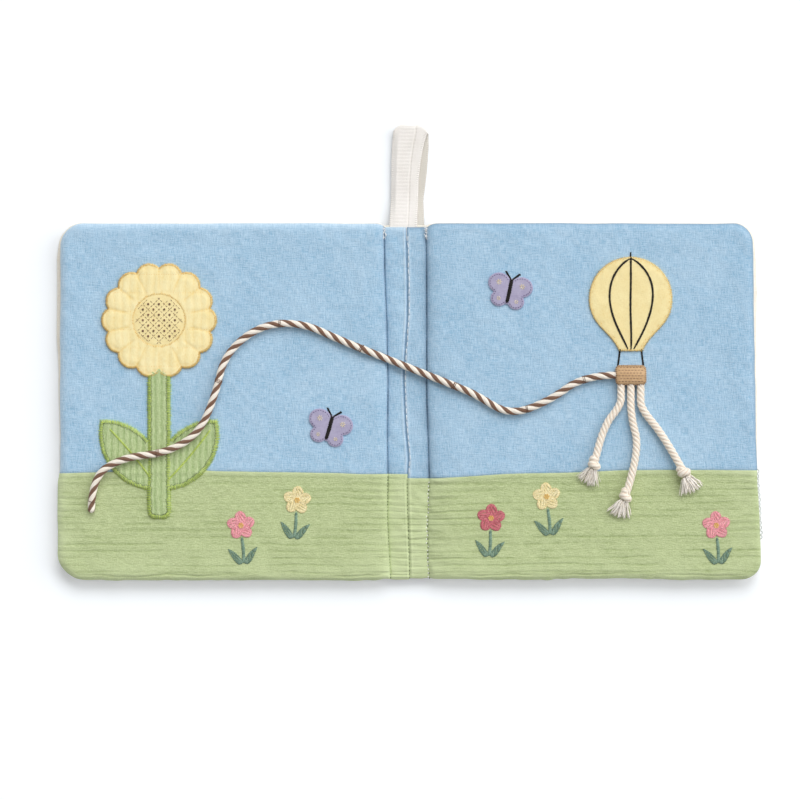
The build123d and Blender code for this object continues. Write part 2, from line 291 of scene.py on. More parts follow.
@dataclass(frozen=True)
class PlainCotton(Cloth):
    """Plain-weave cotton, washed: slubby threads both ways give a fine cross-hatched mottle.

    The real threads lie about 0.3 mm apart, which is finer than a pixel of the picture, so the
    slubs are drawn 0.5 mm wide and a few millimetres long. A pale colour paints highlights on the
    ridges along seams, and a dark colour paints shade in the seams' valleys.
    """

    contrast: float = 0.5
    # painted highlight colour for the seams' ridges, and painted shade colour for the valleys, the folds,
    # the horizon's foot and the right page's edge
    painted_highlight_colour: str = "#dfe9f0"
    painted_seam_shade: str = "#7592ab"
    marks: ClassVar[tuple] = ("tone", "worn")
    grains: ClassVar[dict[str, tuple]] = {
        "warp": (
            0.5, 4.6, 3, 1
        ), "weft": (4.6, 0.5, 3, 1), "speck": (0.7, 0.7, 3, 1), "cloud": (24, 30, 20, 2)
    }

    def pattern(self, tree: bpy.types.NodeTree, read: dict) -> tuple:
        """Build the weave's mottle and relief."""
        cross = add_node(tree, "Math", [read["warp"], read["weft"]], operation="ADD")
        cross = add_node(tree, "Math", [cross, 0.5], operation="MULTIPLY")
        weave = add_node(tree, "Math", [read["speck"], 0.35, cross], operation="MULTIPLY_ADD")
        weave = add_node(tree, "MapRange", [weave, 0.52, 0.83, 0, self.contrast])
        cloud = add_node(tree, "MapRange", [read["cloud"], 0.35, 0.65, 0, 1 - self.contrast])
        level = add_node(tree, "Math", [weave, cloud], operation="ADD")
        layers = [(read["worn"], 0.5, self.painted_highlight_colour), (read["tone"], 1, self.painted_seam_shade)]
        return level, layers, level, 0.13


@dataclass(frozen=True)
class Corduroy(Cloth):
    """Cotton corduroy: the pile stands in wales with bare grooves between them.

    The wales are in the mesh. The crests are painted pale and the grooves dark, as painted light
    and shade, and the pile shows as short fibres that lie across the wale. A pale colour is laid
    over places of wear and as painted light.
    """

    # pale colour of places of wear, also used as painted light
    worn_colour: str = "#cbd7a8"
    across: bool = True
    marks: ClassVar[tuple] = ("tone", "worn")

    @property
    def grains(self) -> dict[str, tuple]:
        """The pile's fibres and tufts, and the cloud of wear."""
        pile = (3.4, 0.5, 3, 2) if self.across else (0.5, 3.4, 3, 2)
        return {"pile": pile, "tuft": (0.8, 0.8, 3, 2), "cloud": (16, 9, 12, 2)}

    def pattern(self, tree: bpy.types.NodeTree, read: dict) -> tuple:
        """Build the grooves' painted shade, the fibres, and the pale colour of wear and painted light."""
        mottle = add_node(tree, "Math", [read["tuft"], 0.8, read["pile"]], operation="MULTIPLY_ADD")
        mottle = add_node(tree, "MapRange", [mottle, 0.68, 1.12, 0, 0.6])
        # crests painted paler and grooves darker, as painted light and shade
        crest = add_node(tree, "MapRange", [read["tone"], 0.05, 0.95, -0.22, 0.42])
        level = add_node(tree, "Math", [mottle, crest], operation="ADD")
        cloud = add_node(tree, "MapRange", [read["cloud"], 0.3, 0.6, 0.35, 0.9])
        pale = add_node(tree, "Math", [read["worn"], cloud], operation="MULTIPLY")
        return level, [(pale, 1, self.worn_colour)], mottle, 0.2


@dataclass(frozen=True)
class WoolFelt(Cloth):
    """Pressed wool felt: short fibres lie every way, so it is soft, dull and almost even."""

    grains: ClassVar[dict[str, tuple]] = {
        "one": (0.35, 1.8, 1, 2), "two": (1.8, 0.35, 1, 2), "cloud": (11, 11, 11, 2)
    }

    def pattern(self, tree: bpy.types.NodeTree, read: dict) -> tuple:
        """Build the fibres' faint mottle and the shaded cut edge."""
        fibres = add_node(tree, "Math", [read["one"], read["two"]], operation="ADD")
        fibres = add_node(tree, "Math", [fibres, 0.5], operation="MULTIPLY")
        level = add_node(tree, "Math", [read["cloud"], 0.5, fibres], operation="MULTIPLY_ADD")
        level = add_node(tree, "MapRange", [level, 0.55, 0.95, 0, 1])
        return level, [(read["tone"], 0.55, self.shade)], fibres, 0.16


@dataclass(frozen=True)
class QuiltedCotton(Cloth):
    """Cotton quilted in narrow channels: the padding lifts each channel between its stitches."""

    # warm colour of painted shade in the quilting's valleys
    painted_quilt_shade: str = "#eccb7c"
    grains: ClassVar[dict[str, tuple]] = {"weave": (0.6, 1.6, 3, 2), "cloud": (8, 8, 8, 2)}

    def pattern(self, tree: bpy.types.NodeTree, read: dict) -> tuple:
        """Build the cloth's mottle and the warmer painted shade in the channels' valleys, seams and edge.
        """
        level = add_node(tree, "Math", [read["weave"], read["cloud"]], operation="ADD")
        level = add_node(tree, "MapRange", [level, 0.75, 1.25, 0, 1])
        return level, [(read["tone"], 0.75, self.painted_quilt_shade)], read["weave"], 0.14


@dataclass(frozen=True)
class SpunCotton(Cloth):
    """Twisted cotton yarn: each strand is a bundle of fine fibres that follow its own lay."""

    second: str = ""
    # painted shade between a rope's strands; on loose yarns a random tint, and with a second colour the
    # dark fibres of that strand
    groove: str = "#cdb49c"
    marks: ClassVar[tuple] = ("tone", "worn")
    grains: ClassVar[dict[str, tuple]] = {"fibre": (3.0, 0.28, 1, 2)}

    def pattern(self, tree: bpy.types.NodeTree, read: dict) -> tuple:
        """Build the fibres along a strand, the painted shade in its grooves and a second strand colour."""
        level = add_node(tree, "MapRange", [read["fibre"], 0.3, 0.7, 0, 1])
        layer = (read["tone"], 0.6, self.groove)
        if self.second:
            stripe = add_node(
                tree, "Mix", {0: level, 6: self.groove, 7: self.second}, 2, data_type="RGBA"
            )
            layer = (add_node(tree, "MapRange", [read["worn"], 0.1, 0.3, 0, 1]), 1, stripe)
        return level, [layer], read["fibre"], 0.12


@dataclass(frozen=True)
class Thread(Cloth):
    """Embroidery or sewing thread: twisted filaments with a soft shine along the stitch."""

    roughness: float = 0.55
    sheen: float = 0.15
    grains: ClassVar[dict[str, tuple]] = {"twist": (0.5, 0.25, 1, 1)}

    def pattern(self, tree: bpy.types.NodeTree, read: dict) -> tuple:
        """Build the twist's fine light and dark."""
        level = add_node(tree, "Math", [read["twist"], read["tone"]], operation="ADD")
        return add_node(tree, "MapRange", [level, 0.5, 1.5, 0, 1]), [], read["twist"], 0.08

    def darker(self) -> Thread:
        """The same thread in its darker shade, for outlines."""
        deep = [int(int(self.shade[n : n + 2], 16) * 0.8) for n in (1, 3, 5)]
        return Thread(self.name + "_dark", self.shade, "#%02x%02x%02x" % tuple(deep))


@dataclass(frozen=True)
class RibbedTape(Cloth):
    """Cotton tape woven with fine ribs across its width, which the mesh carries.

    The inner side of the fold gets painted shade in a duller colour.
    """

    # painted shade colour for the inner side of the fold
    inside: str = "#d5d0c6"
    marks: ClassVar[tuple] = ("tone", "worn")
    grains: ClassVar[dict[str, tuple]] = {"weave": (0.5, 0.5, 3, 2), "cloud": (9, 14, 9, 1)}

    def pattern(self, tree: bpy.types.NodeTree, read: dict) -> tuple:
        """Build the threads' mottle and the shaded grooves between the ribs."""
        level = add_node(
            tree, "Math", [read["weave"], 0.5, read["cloud"]], operation="MULTIPLY_ADD"
        )
        level = add_node(tree, "MapRange", [level, 0.5, 1.0, 0, 0.5])
        level = add_node(tree, "Math", [read["tone"], 0.5, level], operation="MULTIPLY_ADD")
        return level, [(read["worn"], 1, self.inside)], read["weave"], 0.1


# Washed cottons: soft blue skies and warm cream covers with a fine mottle
SKY_COTTON = PlainCotton("sky_cotton_plain_weave", "#bfd9ed", "#8cb5d2", contrast=0.8)
CREAM_COTTON = PlainCotton("cream_cotton_plain_weave", "#f6f0e4", "#ece4d4", contrast=0.85)
# Corduroys: ribbed grass greens, with crests painted pale and grooves dark as light and shade
GREEN_CORDUROY = Corduroy("green_corduroy_washed", "#cad6a4", "#8d9e65")
LEAF_CORDUROY = Corduroy("leaf_corduroy_washed", "#c6d5a2", "#8fa86c", across=False)
# Felts and the quilting: dull, even, slightly fuzzy shapes
YELLOW_FELT = WoolFelt("yellow_wool_felt", "#faebb4", "#f0db9c")
TAN_FELT = WoolFelt("tan_wool_felt", "#d2b089", "#bd9a72")
LILAC_FELT = WoolFelt("lilac_wool_felt", "#b8b3ca", "#a39cba")
YELLOW_QUILT = QuiltedCotton("yellow_quilted_cotton", "#faedbb", "#f3e0a3")
# Yarns and the tape: visible strands with warm painted shade between them
CREAM_ROPE = SpunCotton("cream_cotton_rope", "#fdf6eb", "#f1e4d2", groove="#d9b899")
FRAYED_YARN = SpunCotton("frayed_cotton_yarn", "#fffdf8", "#fdf5ea", groove="#f6eadb")
CORD_YARN = SpunCotton(
    "brown_cream_cord_yarn", "#fcf5ea", "#f1e5d5", second="#8a6a58", groove="#6d4f3f"
)
CREAM_TAPE = RibbedTape("cream_ribbed_tape", "#fbf7f3", "#e6e1da")
# Threads: small glints of colour that draw the stitches
BLACK_THREAD = Thread("black_embroidery_thread", "#26221f", "#0f0d0c")
LIME_THREAD = Thread("lime_whip_stitch_thread", "#d9ea7e", "#a9c257")
GOLD_THREAD = Thread("gold_edging_thread", "#f4d588", "#e3b45c")
BROWN_THREAD = Thread("brown_embroidery_thread", "#93705a", "#6d4f3f")
WHITE_THREAD = Thread("white_sewing_thread", "#ffffff", "#f3f3f0")
BLUE_THREAD = Thread("blue_sewing_thread", "#55799a", "#335573")
GREEN_THREAD = Thread("green_sewing_thread", "#61744a", "#3b4b28")
PALE_GREEN_THREAD = Thread("pale_green_sewing_thread", "#aab984", "#8fa069")
GREY_THREAD = Thread("grey_green_edging_thread", "#979e8f", "#7c8375")
PURPLE_THREAD = Thread("purple_sewing_thread", "#6a5f8c", "#463d66")
PINK_THREAD = Thread("pink_embroidery_thread", "#fbbcc2", "#ea95a0")
ROSE_THREAD = Thread("rose_embroidery_thread", "#e08a92", "#c2646f")
BUTTER_THREAD = Thread("pale_yellow_embroidery_thread", "#fdf3cb", "#efdda2")
TEAL_THREAD = Thread("teal_embroidery_thread", "#93ae9a", "#65826f")


# Meshes


@dataclass
class Skin:
    """Points and faces of a piece, with what its finish reads at each point."""

    points: np.ndarray
    faces: list
    lay: np.ndarray | None = None
    tone: np.ndarray | None = None
    worn: np.ndarray | None = None

    def filled(self) -> Skin:
        """Give every missing attribute its plain value."""
        count = len(self.points)
        self.lay = self.points.copy() if self.lay is None else self.lay
        self.tone = np.zeros(count) if self.tone is None else self.tone
        self.worn = np.zeros(count) if self.worn is None else self.worn
        return self

    @staticmethod
    def joined(skins: Iterable[Skin]) -> Skin:
        """Put several skins into one."""
        skins = [skin.filled() for skin in skins]
        faces: list = []
        start = 0
        for skin in skins:
            faces.extend((np.asarray(f) + start).tolist() for f in skin.faces)
            start += len(skin.points)
        points, *marks = (
            np.concatenate(
                [getattr(skin, key) for skin in skins]
            ) for key in ("points", "lay", "tone", "worn")
        )
        return Skin(points, faces, *marks)

    def piece(self, name: str, finish: Cloth, slot: str | None = None) -> bpy.types.Object:
        """Make the Blender object.

        Args:
            name: The piece's name.
            finish: What it is made of.
            slot: The record's material slot, where it has one. Not used.

        Returns:
            The new object, smooth-shaded and linked to the scene.
        """
        self.filled()
        mesh = bpy.data.meshes.new(name)
        mesh.from_pydata(to_frame(self.points).tolist(), [], self.faces)
        mesh.polygons.foreach_set("use_smooth", [True] * len(mesh.polygons))
        lay = mesh.attributes.new("lay", "FLOAT_VECTOR", "POINT")
        lay.data.foreach_set("vector", self.lay.astype(np.float32).ravel())
        for key, values in (("tone", self.tone), ("worn", self.worn)):
            stored = mesh.attributes.new(key, "FLOAT", "POINT")
            stored.data.foreach_set("value", values.astype(np.float32))
        mesh.materials.append(finish.material())
        made = bpy.data.objects.new(name, mesh)
        bpy.context.scene.collection.objects.link(made)
        LOG.info("%s: %d faces", name, len(self.faces))
        return made


def grid_faces(rows: int, columns: int, flip: bool = False, start: int = 0) -> list:
    """Four-sided faces of a grid of points stored row by row.

    Args:
        rows: Count of rows.
        columns: Count of columns.
        flip: Whether the faces look the other way.
        start: Number of the first point.

    Returns:
        One list of four point numbers for each face.
    """
    index = np.arange(rows * columns).reshape(rows, columns) + start
    corners = [index[:-1, :-1], index[1:, :-1], index[1:, 1:], index[:-1, 1:]]
    if flip:
        corners.reverse()
    return np.stack(corners, -1).reshape(-1, 4).tolist()


def frames(path: np.ndarray) -> tuple[np.ndarray, np.ndarray, np.ndarray]:
    """Directions along, left of and above each point of one or more paths.

    Args:
        path: Points, with the point number on the last axis but one.

    Returns:
        Unit vectors along the path, to its left and upwards.
    """
    along = np.gradient(path, axis=-2)
    along /= np.linalg.norm(along, axis=-1, keepdims=True)
    left = np.cross(np.broadcast_to(UP, along.shape), along)
    left /= np.maximum(np.linalg.norm(left, axis=-1, keepdims=True), 1e-9)
    return along, left, np.cross(along, left)


def carried_frames(path: np.ndarray) -> tuple[np.ndarray, np.ndarray, np.ndarray]:
    """Directions along one path, with the sideways one carried on without a twist.

    Args:
        path: Points of a path that may turn any way.

    Returns:
        Unit vectors along the path and two across it.
    """
    along = np.gradient(path, axis=0)
    along /= np.linalg.norm(along, axis=1, keepdims=True)
    first = np.cross(UP, along[0])
    left = [first / max(np.linalg.norm(first), 1e-6)]
    for direction in along[1:]:
        carried = left[-1] - direction * (left[-1] @ direction)
        left.append(carried / np.linalg.norm(carried))
    return along, np.array(left), np.cross(along, left)


def threads(paths: np.ndarray, radius: np.ndarray | float, sides: int = 5, tint: int = 0) -> Skin:
    """Many thin threads at once, each a tube with pointed ends.

    Args:
        paths: Points of each thread, shape (threads, points, 3).
        radius: One radius, or one for each thread.
        sides: Count of sides of a tube.
        tint: Seed of the small change of tone from thread to thread.

    Returns:
        The skin of all the threads.
    """
    count, length, _ = paths.shape
    radius = np.broadcast_to(np.asarray(radius, float).reshape(-1, 1, 1, 1), (count, 1, 1, 1))
    _, left, up = frames(paths)
    taper = np.ones(length)
    taper[0] = taper[-1] = 0.35
    angle = np.arange(sides) * 2 * math.pi / sides
    ring = np.cos(angle)[:, None] * left[:, :, None] + np.sin(angle)[:, None] * up[:, :, None]
    points = paths[:, :, None] + ring * radius * taper[None, :, None, None]
    index = np.arange(count * length * sides).reshape(count, length, sides)
    after = np.roll(index, -1, axis=2)
    quads = np.stack([index[:, :-1], after[:, :-1], after[:, 1:], index[:, 1:]], -1).reshape(-1, 4)
    caps = [*index[:, 0, ::-1].tolist(), *index[:, -1].tolist()]
    steps = np.linalg.norm(np.diff(paths, axis=1), axis=2)
    run = np.concatenate([np.zeros((count, 1)), np.cumsum(steps, axis=1)], axis=1)
    shape = (count, length, sides)
    lay = spread(shape, run[:, :, None], angle * 0.3, np.arange(count)[:, None, None] * 3.7)
    shade = np.random.default_rng(tint).uniform(0.1, 0.9, count)
    tone = np.broadcast_to(shade[:, None, None], shape)
    return Skin(points.reshape(-1, 3), [*quads.tolist(), *caps], lay.reshape(-1, 3), tone.ravel())


def stitches(
    first: np.ndarray, last: np.ndarray, height: Field, rise: float = 0.16, sink: float = 0.35
) -> np.ndarray:
    """Paths of stitches that dive into the cloth at both ends.

    Args:
        first: Plan points where the stitches start.
        last: Plan points where they end.
        height: Height of the cloth over the plan.
        rise: How far the middle of a stitch stands off the cloth.
        sink: How far its ends go into the cloth.

    Returns:
        Five points for each stitch.
    """
    share = np.array([0.0, 0.14, 0.5, 0.86, 1.0])
    lift = np.array([-sink, rise * 0.6, rise, rise * 0.6, -sink])
    plan = first[:, None] * (1 - share[:, None]) + last[:, None] * share[:, None]
    z = height(plan[..., 0], plan[..., 1]) + lift
    return np.concatenate([plan, z[..., None]], -1)


def resample(outline: np.ndarray, spacing: float, closed: bool = True) -> np.ndarray:
    """Points at even steps along a line.

    Args:
        outline: Corner points of the line.
        spacing: Wished step.
        closed: Whether the last point joins the first.

    Returns:
        The evenly spaced points.
    """
    line = np.vstack([outline, outline[:1]]) if closed else np.asarray(outline, float)
    run = run_along(line)
    count = max(int(round(run[-1] / spacing)), 3)
    at = np.linspace(0, run[-1], count + (0 if closed else 1), endpoint=not closed)
    return read_at(at, run, line)


def normals_2d(line: np.ndarray, closed: bool = True) -> np.ndarray:
    """Unit vectors to the left of a plan line at each of its points."""
    if closed:
        along = np.roll(line, -1, axis=0) - np.roll(line, 1, axis=0)
    else:
        along = np.gradient(line, axis=0)
    along = along / np.linalg.norm(along, axis=1, keepdims=True)
    return np.stack([-along[:, 1], along[:, 0]], -1)


def edge_distance(points: np.ndarray, outline: np.ndarray) -> np.ndarray:
    """Distance from each plan point to the nearest side of a closed outline."""
    first, last = outline, np.roll(outline, -1, axis=0)
    side = last - first
    best = np.full(len(points), np.inf)
    for start in range(0, len(points), 2000):
        chunk = points[start : start + 2000, None]
        share = ((chunk - first) * side).sum(-1) / np.maximum((side**2).sum(-1), 1e-12)
        near = first + np.clip(share, 0, 1)[..., None] * side
        best[start : start + 2000] = np.linalg.norm(chunk - near, axis=-1).min(1)
    return best


def inside(points: np.ndarray, outline: np.ndarray) -> np.ndarray:
    """Whether each plan point lies inside a closed outline."""
    x, y = points[:, 0, None], points[:, 1, None]
    x0, y0 = outline[:, 0], outline[:, 1]
    x1, y1 = np.roll(x0, -1), np.roll(y0, -1)
    spans = (y0 > y) != (y1 > y)
    rise = np.where(y1 == y0, 1e-12, y1 - y0)
    crossing = (x1 - x0) * (y - y0) / rise + x0
    return (spans & (x < crossing)).sum(1) % 2 == 1


@dataclass
class SewnPatch:
    """A shape cut from cloth or felt and sewn flat on a page."""

    outline: np.ndarray
    thickness: float
    ground: Field
    spacing: float = 1.2
    rim: float = 0.45
    relief: Callable[[np.ndarray, np.ndarray, np.ndarray], tuple] | None = None

    def top(self, x: np.ndarray, y: np.ndarray) -> np.ndarray:
        """Height of the patch's upper face over the plan."""
        points = np.stack([np.ravel(x), np.ravel(y)], -1)
        distance = edge_distance(points, self.outline)
        z, _ = self.surface(points, distance)
        return z.reshape(np.shape(x))

    def surface(self, points: np.ndarray, distance: np.ndarray) -> tuple:
        """Height and tone of the upper face.

        Args:
            points: Plan points.
            distance: Their distances from the cut edge.

        Returns:
            The heights and the tones.
        """
        z = self.ground(points[:, 0], points[:, 1])
        z = z + self.thickness * (0.72 + 0.28 * shoulder(distance, 1.4, 2))
        # painted shade on the cut edge, where the patch turns down
        tone = 1 - ease(distance, 0.0, 0.9)
        if self.relief:
            lift, tint = self.relief(points[:, 0], points[:, 1], distance)
            z, tone = z + lift, tint
        return z, tone

    def skin(self) -> Skin:
        """Build the upper face with its cut edge.

        Returns:
            The patch, open underneath where it lies on the page.
        """
        line = resample(self.outline, self.spacing * 0.7)
        area = line[:, 0] * np.roll(line[:, 1], -1) - np.roll(line[:, 0], -1) * line[:, 1]
        if area.sum() < 0:
            line = line[::-1]
        inset = line + normals_2d(line) * self.rim
        inset = inset[inside(inset, line) & (edge_distance(inset, line) > self.rim * 0.8)]
        low, high = line.min(0), line.max(0)
        rows = np.arange(low[1], high[1], self.spacing * 0.866)
        spots = [
            np.stack([xs := np.arange(low[0] + (n % 2) * self.spacing / 2, high[0], self.spacing),
                      np.full(len(xs), y)], -1)
            for n, y in enumerate(rows)
        ]
        spots = np.concatenate(spots)
        spots = spots[inside(spots, line)]
        spots = spots[edge_distance(spots, line) > self.rim + self.spacing * 0.45]
        plan = np.concatenate([line, inset, spots])
        count = len(line)
        made = delaunay_2d_cdt(
            [Vector(p) for p in plan.tolist()], [], [list(range(count))], 1, 1e-6
        )
        plan = np.array([list(v) for v in made[0]])
        distance = edge_distance(plan, line)
        z, tone = self.surface(plan, distance)
        top = Skin(np.column_stack([plan, z]), [list(f) for f in made[2]], None, tone)
        rim_z, rim_tone = self.surface(line, np.zeros(count))
        base = self.ground(line[:, 0], line[:, 1]) - 0.3
        bulge = line - normals_2d(line) * 0.08
        wall = np.concatenate(
            [
                np.column_stack([line, rim_z]),
                np.column_stack([bulge, (rim_z * 2 + base) / 3]),
                np.column_stack([line, base]),
            ]
        )
        index = np.arange(3 * count).reshape(3, count)
        after = np.roll(index, -1, axis=1)
        faces = np.stack([index[:-1], index[1:], after[1:], after[:-1]], -1).reshape(-1, 4)
        # the cut edge's side wall in full painted shade
        edge = Skin(wall, faces.tolist(), None, np.ones(3 * count))
        return Skin.joined([top, edge])

    def sew(self, name: str, finish: Cloth, slot: str, node: str, body: str) -> None:
        """Make the patch's piece, in the place of its node and on its body."""
        piece = self.skin().piece(name, finish, slot)
        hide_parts(node)
        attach(piece, body)


# The book


@dataclass
class BookShape:
    """Heights and outlines of the open book, read off the photograph's edges."""

    page_top: float = 10.1
    spine_top: float = 6.4
    spine_seam: float = 5.5
    page_seam: float = 7.3
    edge_run: float = 4.6
    valley_run: float = 9.5
    corner: float = 11.0
    wale: float = 3.75
    crown: float = 0.25
    horizons: ClassVar[dict] = {
        Side.RIGHT: (-41.7, -39.0, -37.2, -37.4),
        Side.LEFT: (-39.6, -38.4, -37.2, -39.0),
    }
    page_edges: ClassVar[dict] = {
        Side.RIGHT: ((-90, 3.4), (-70, 2.6), (-40, 1.1), (-20, 0.3), (20, -0.3), (95, -1.6)),
        Side.LEFT: ((-90, 1.2), (-44, 1.1), (-37, -0.3), (0, -0.2), (50, -0.4), (95, -0.6)),
    }
    cover_edges: ClassVar[dict] = {
        Side.RIGHT: ((-90, 1.6), (-40, 1.4), (0, 1.3), (30, 0.9), (60, 1.2), (95, -0.4)),
        Side.LEFT: ((-90, 0.6), (-30, 0.3), (10, 0.9), (40, 1.9), (80, 1.7), (95, 0.2)),
    }

    fold_places: ClassVar[dict] = {
        Side.RIGHT: (
            (-97, 0.7), (
                -88, -0.1
            ), (-64, -0.1), (-40, 0.7), (-20, 0.2), (0, -0.6), (72, -0.7), (85, -0.8), (98, -1.2)
        ),
        Side.LEFT: (
            (-97, -1.9), (
                -83, -1.1
            ), (-65, -0.2), (-40, -0.5), (-20, -0.2), (13, -0.5), (43, 0.1), (74, 1.3), (98, 1.7)
        ),
    }
    seam_places: tuple = (
        (-96, 1.1), (-85, 1.0), (-72, 0.5), (-58, 0.0), (
            -45, -0.3
        ), (-32, 0.6), (-25, 0.0), (-12, -1.1),
        (2, -1.7), (12, -2.1), (22, -1.7), (48, 0.0), (62, 0.0), (95, -0.6),
    )

    def __post_init__(self) -> None:
        """Make the seeded noises, a few for each side, and start with no simulated relief."""
        self.relief: dict[Side, tuple[np.ndarray, np.ndarray, np.ndarray]] = {}
        self.noises = {
            side: [
                Noise(seed + n) for n in range(10)
            ] for side, seed in ((Side.RIGHT, 20), (Side.LEFT, 60))
        }

    def stuffed(self, side: Side, u: np.ndarray, v: np.ndarray) -> np.ndarray:
        """Read the simulated swelling of the page's cloth.

        Args:
            side: The page.
            u: Distances out from the middle of the spine.
            v: Heights up the page.

        Returns:
            The swelling at each point, or nothing where the simulation was left out.
        """
        if side not in self.relief:
            return np.zeros(np.shape(u))
        lines_u, lines_v, swelling = self.relief[side]
        a = (np.clip(u, lines_u[0], lines_u[-1]) - lines_u[0]) / (lines_u[1] - lines_u[0])
        b = (np.clip(v, lines_v[0], lines_v[-1]) - lines_v[0]) / (lines_v[1] - lines_v[0])
        i = np.clip(np.floor(a).astype(int), 0, len(lines_u) - 2)
        j = np.clip(np.floor(b).astype(int), 0, len(lines_v) - 2)
        a, b = ease(a - i, 0, 1), ease(b - j, 0, 1)
        low = swelling[j, i] * (1 - a) + swelling[j, i + 1] * a
        high = swelling[j + 1, i] * (1 - a) + swelling[j + 1, i + 1] * a
        return low * (1 - b) + high * b

    def horizon(self, side: Side, u: np.ndarray) -> np.ndarray:
        """Height up the page of the line where the ground meets the sky.

        Args:
            side: The page.
            u: Distances out from the middle of the spine.

        Returns:
            The horizon at each point.
        """
        levels = np.array(self.horizons[side])
        at = np.clip((np.asarray(u, float) - FOLD_X) / (PAGE_EDGE - FOLD_X), 0, 1) * 3
        cell = np.clip(np.floor(at).astype(int), 0, 2)
        t = ease(at - cell, 0, 1)
        wobble = self.noises[side][9](np.asarray(u) / 13, 0.5) * 0.25
        return levels[cell] * (1 - t) + levels[cell + 1] * t + wobble

    def seam(self, v: np.ndarray) -> np.ndarray:
        """Place across the book of the seam down the middle of the spine."""
        stations = np.array(self.seam_places)
        return np.interp(v, stations[:, 0], stations[:, 1])

    def fold_line(self, side: Side, v: np.ndarray) -> np.ndarray:
        """Distance of the fold's stitching from the middle of the spine."""
        stations = np.array(self.fold_places[side])
        return FOLD_X + np.interp(v, stations[:, 0], stations[:, 1])

    def drawn(self, side: Side, u: np.ndarray, v: np.ndarray) -> np.ndarray:
        """Shift grid lines so that they follow the seam and the fold's stitching.

        Args:
            side: The page.
            u: Even distances out from the middle of the spine.
            v: Heights up the page.

        Returns:
            The distances at which the grid lines lie.
        """
        to_seam = side.value * self.seam(v) * (1 - ease(u, 0, 8))
        to_fold = (self.fold_line(side, v) - FOLD_X) * ease(u, 3, 11) * (1 - ease(u, 12.5, 24))
        return u + to_seam + to_fold

    def loose_fold(self, side: Side, v: np.ndarray) -> np.ndarray:
        """How slowly the right ground rises from its fold, where it isn't pulled tight."""
        return (1 - ease(v, -46, -38)) * (1.0 if side is Side.RIGHT else 0.0)

    def head(self, side: Side, u: np.ndarray) -> np.ndarray:
        """Height of the head edge, which dips to the spine between the rounded page corners."""
        u = np.asarray(u, float)
        past = u + (1.4 if side is Side.RIGHT else 0.0)
        rise = 2.7 * np.sqrt(np.clip(1 - (np.clip(18.5 - past, 0, 5.8) / 6) ** 2, 0, 1))
        rise = np.where(past < 12.7, 0.66, rise)
        wave = self.noises[side][0](u / 17, 0.3) * 0.3
        return 97.2 + rise + wave * ease(u, 14, 30)

    def foot(self, side: Side, u: np.ndarray) -> np.ndarray:
        """Height of the foot edge."""
        u = np.asarray(u, float)
        wave = self.noises[side][0](u / 15, 7.3) * 0.55
        level = -98.6 if side is Side.LEFT else -98.0
        dip = 0.6 * bell(u - FOLD_X, 3)
        return level + wave + dip + 0.28 * self.noises[side][1](u / 4.6, 5.1) * ease(u, 3, 16)

    def outer(self, table: dict, side: Side, v: np.ndarray) -> np.ndarray:
        """Distance of the outer edge from the spine, for the page or the cover."""
        stations = np.array(table[side], float)
        v = np.asarray(v, float)
        offset = np.interp(v, stations[:, 0], stations[:, 1])
        return PAGE_EDGE + offset + self.noises[side][1](v / 9, 2.2) * 0.3

    def plan(self, side: Side, across: np.ndarray, up: np.ndarray, cover: bool = False) -> tuple:
        """Place a grid on the page's rounded outline.

        Args:
            side: The page.
            across: Distance from the spine, up to the page's edge at 193.5.
            up: Share of the height from the foot at -1 to the head at 1, in half heights.
            cover: Whether the outline is the cover's.

        Returns:
            Distance out, height up the page, and distance in from the finished edge.
        """
        edge_x, edge_y = PAGE_EDGE - across, HALF_HEIGHT - np.abs(up)
        r = self.corner * np.where(up < 0, 1.45, 1.15) if side is Side.LEFT else self.corner
        p = np.clip(1 - edge_x / r, 0, 1)
        q = np.clip(1 - edge_y / r, 0, 1)
        cornered = (p > 0) & (q > 0)
        disc_x, disc_y = p * np.sqrt(1 - q * q / 2), q * np.sqrt(1 - p * p / 2)
        u = np.where(cornered, PAGE_EDGE - r + disc_x * r, across)
        v = np.where(cornered, np.sign(up) * (HALF_HEIGHT - r + disc_y * r), up)
        inner = np.minimum(edge_x, edge_y)
        inner = np.where(cornered, r * (1 - np.hypot(disc_x, disc_y)), inner)
        table = self.cover_edges if cover else self.page_edges
        shift = self.outer(table, side, v) - PAGE_EDGE
        out = u + shift * ease(u, 120, PAGE_EDGE)
        head, foot = self.head(side, u), self.foot(side, u)
        if cover:
            head, foot = head + 0.5 + 0.7 * (1 - ease(u, 11.5, 13.5)), foot - 0.2
        v = v + (head - HALF_HEIGHT) * ease(v, 40, HALF_HEIGHT)
        v = v + (foot + HALF_HEIGHT) * ease(-v, 40, HALF_HEIGHT)
        return out, v, inner

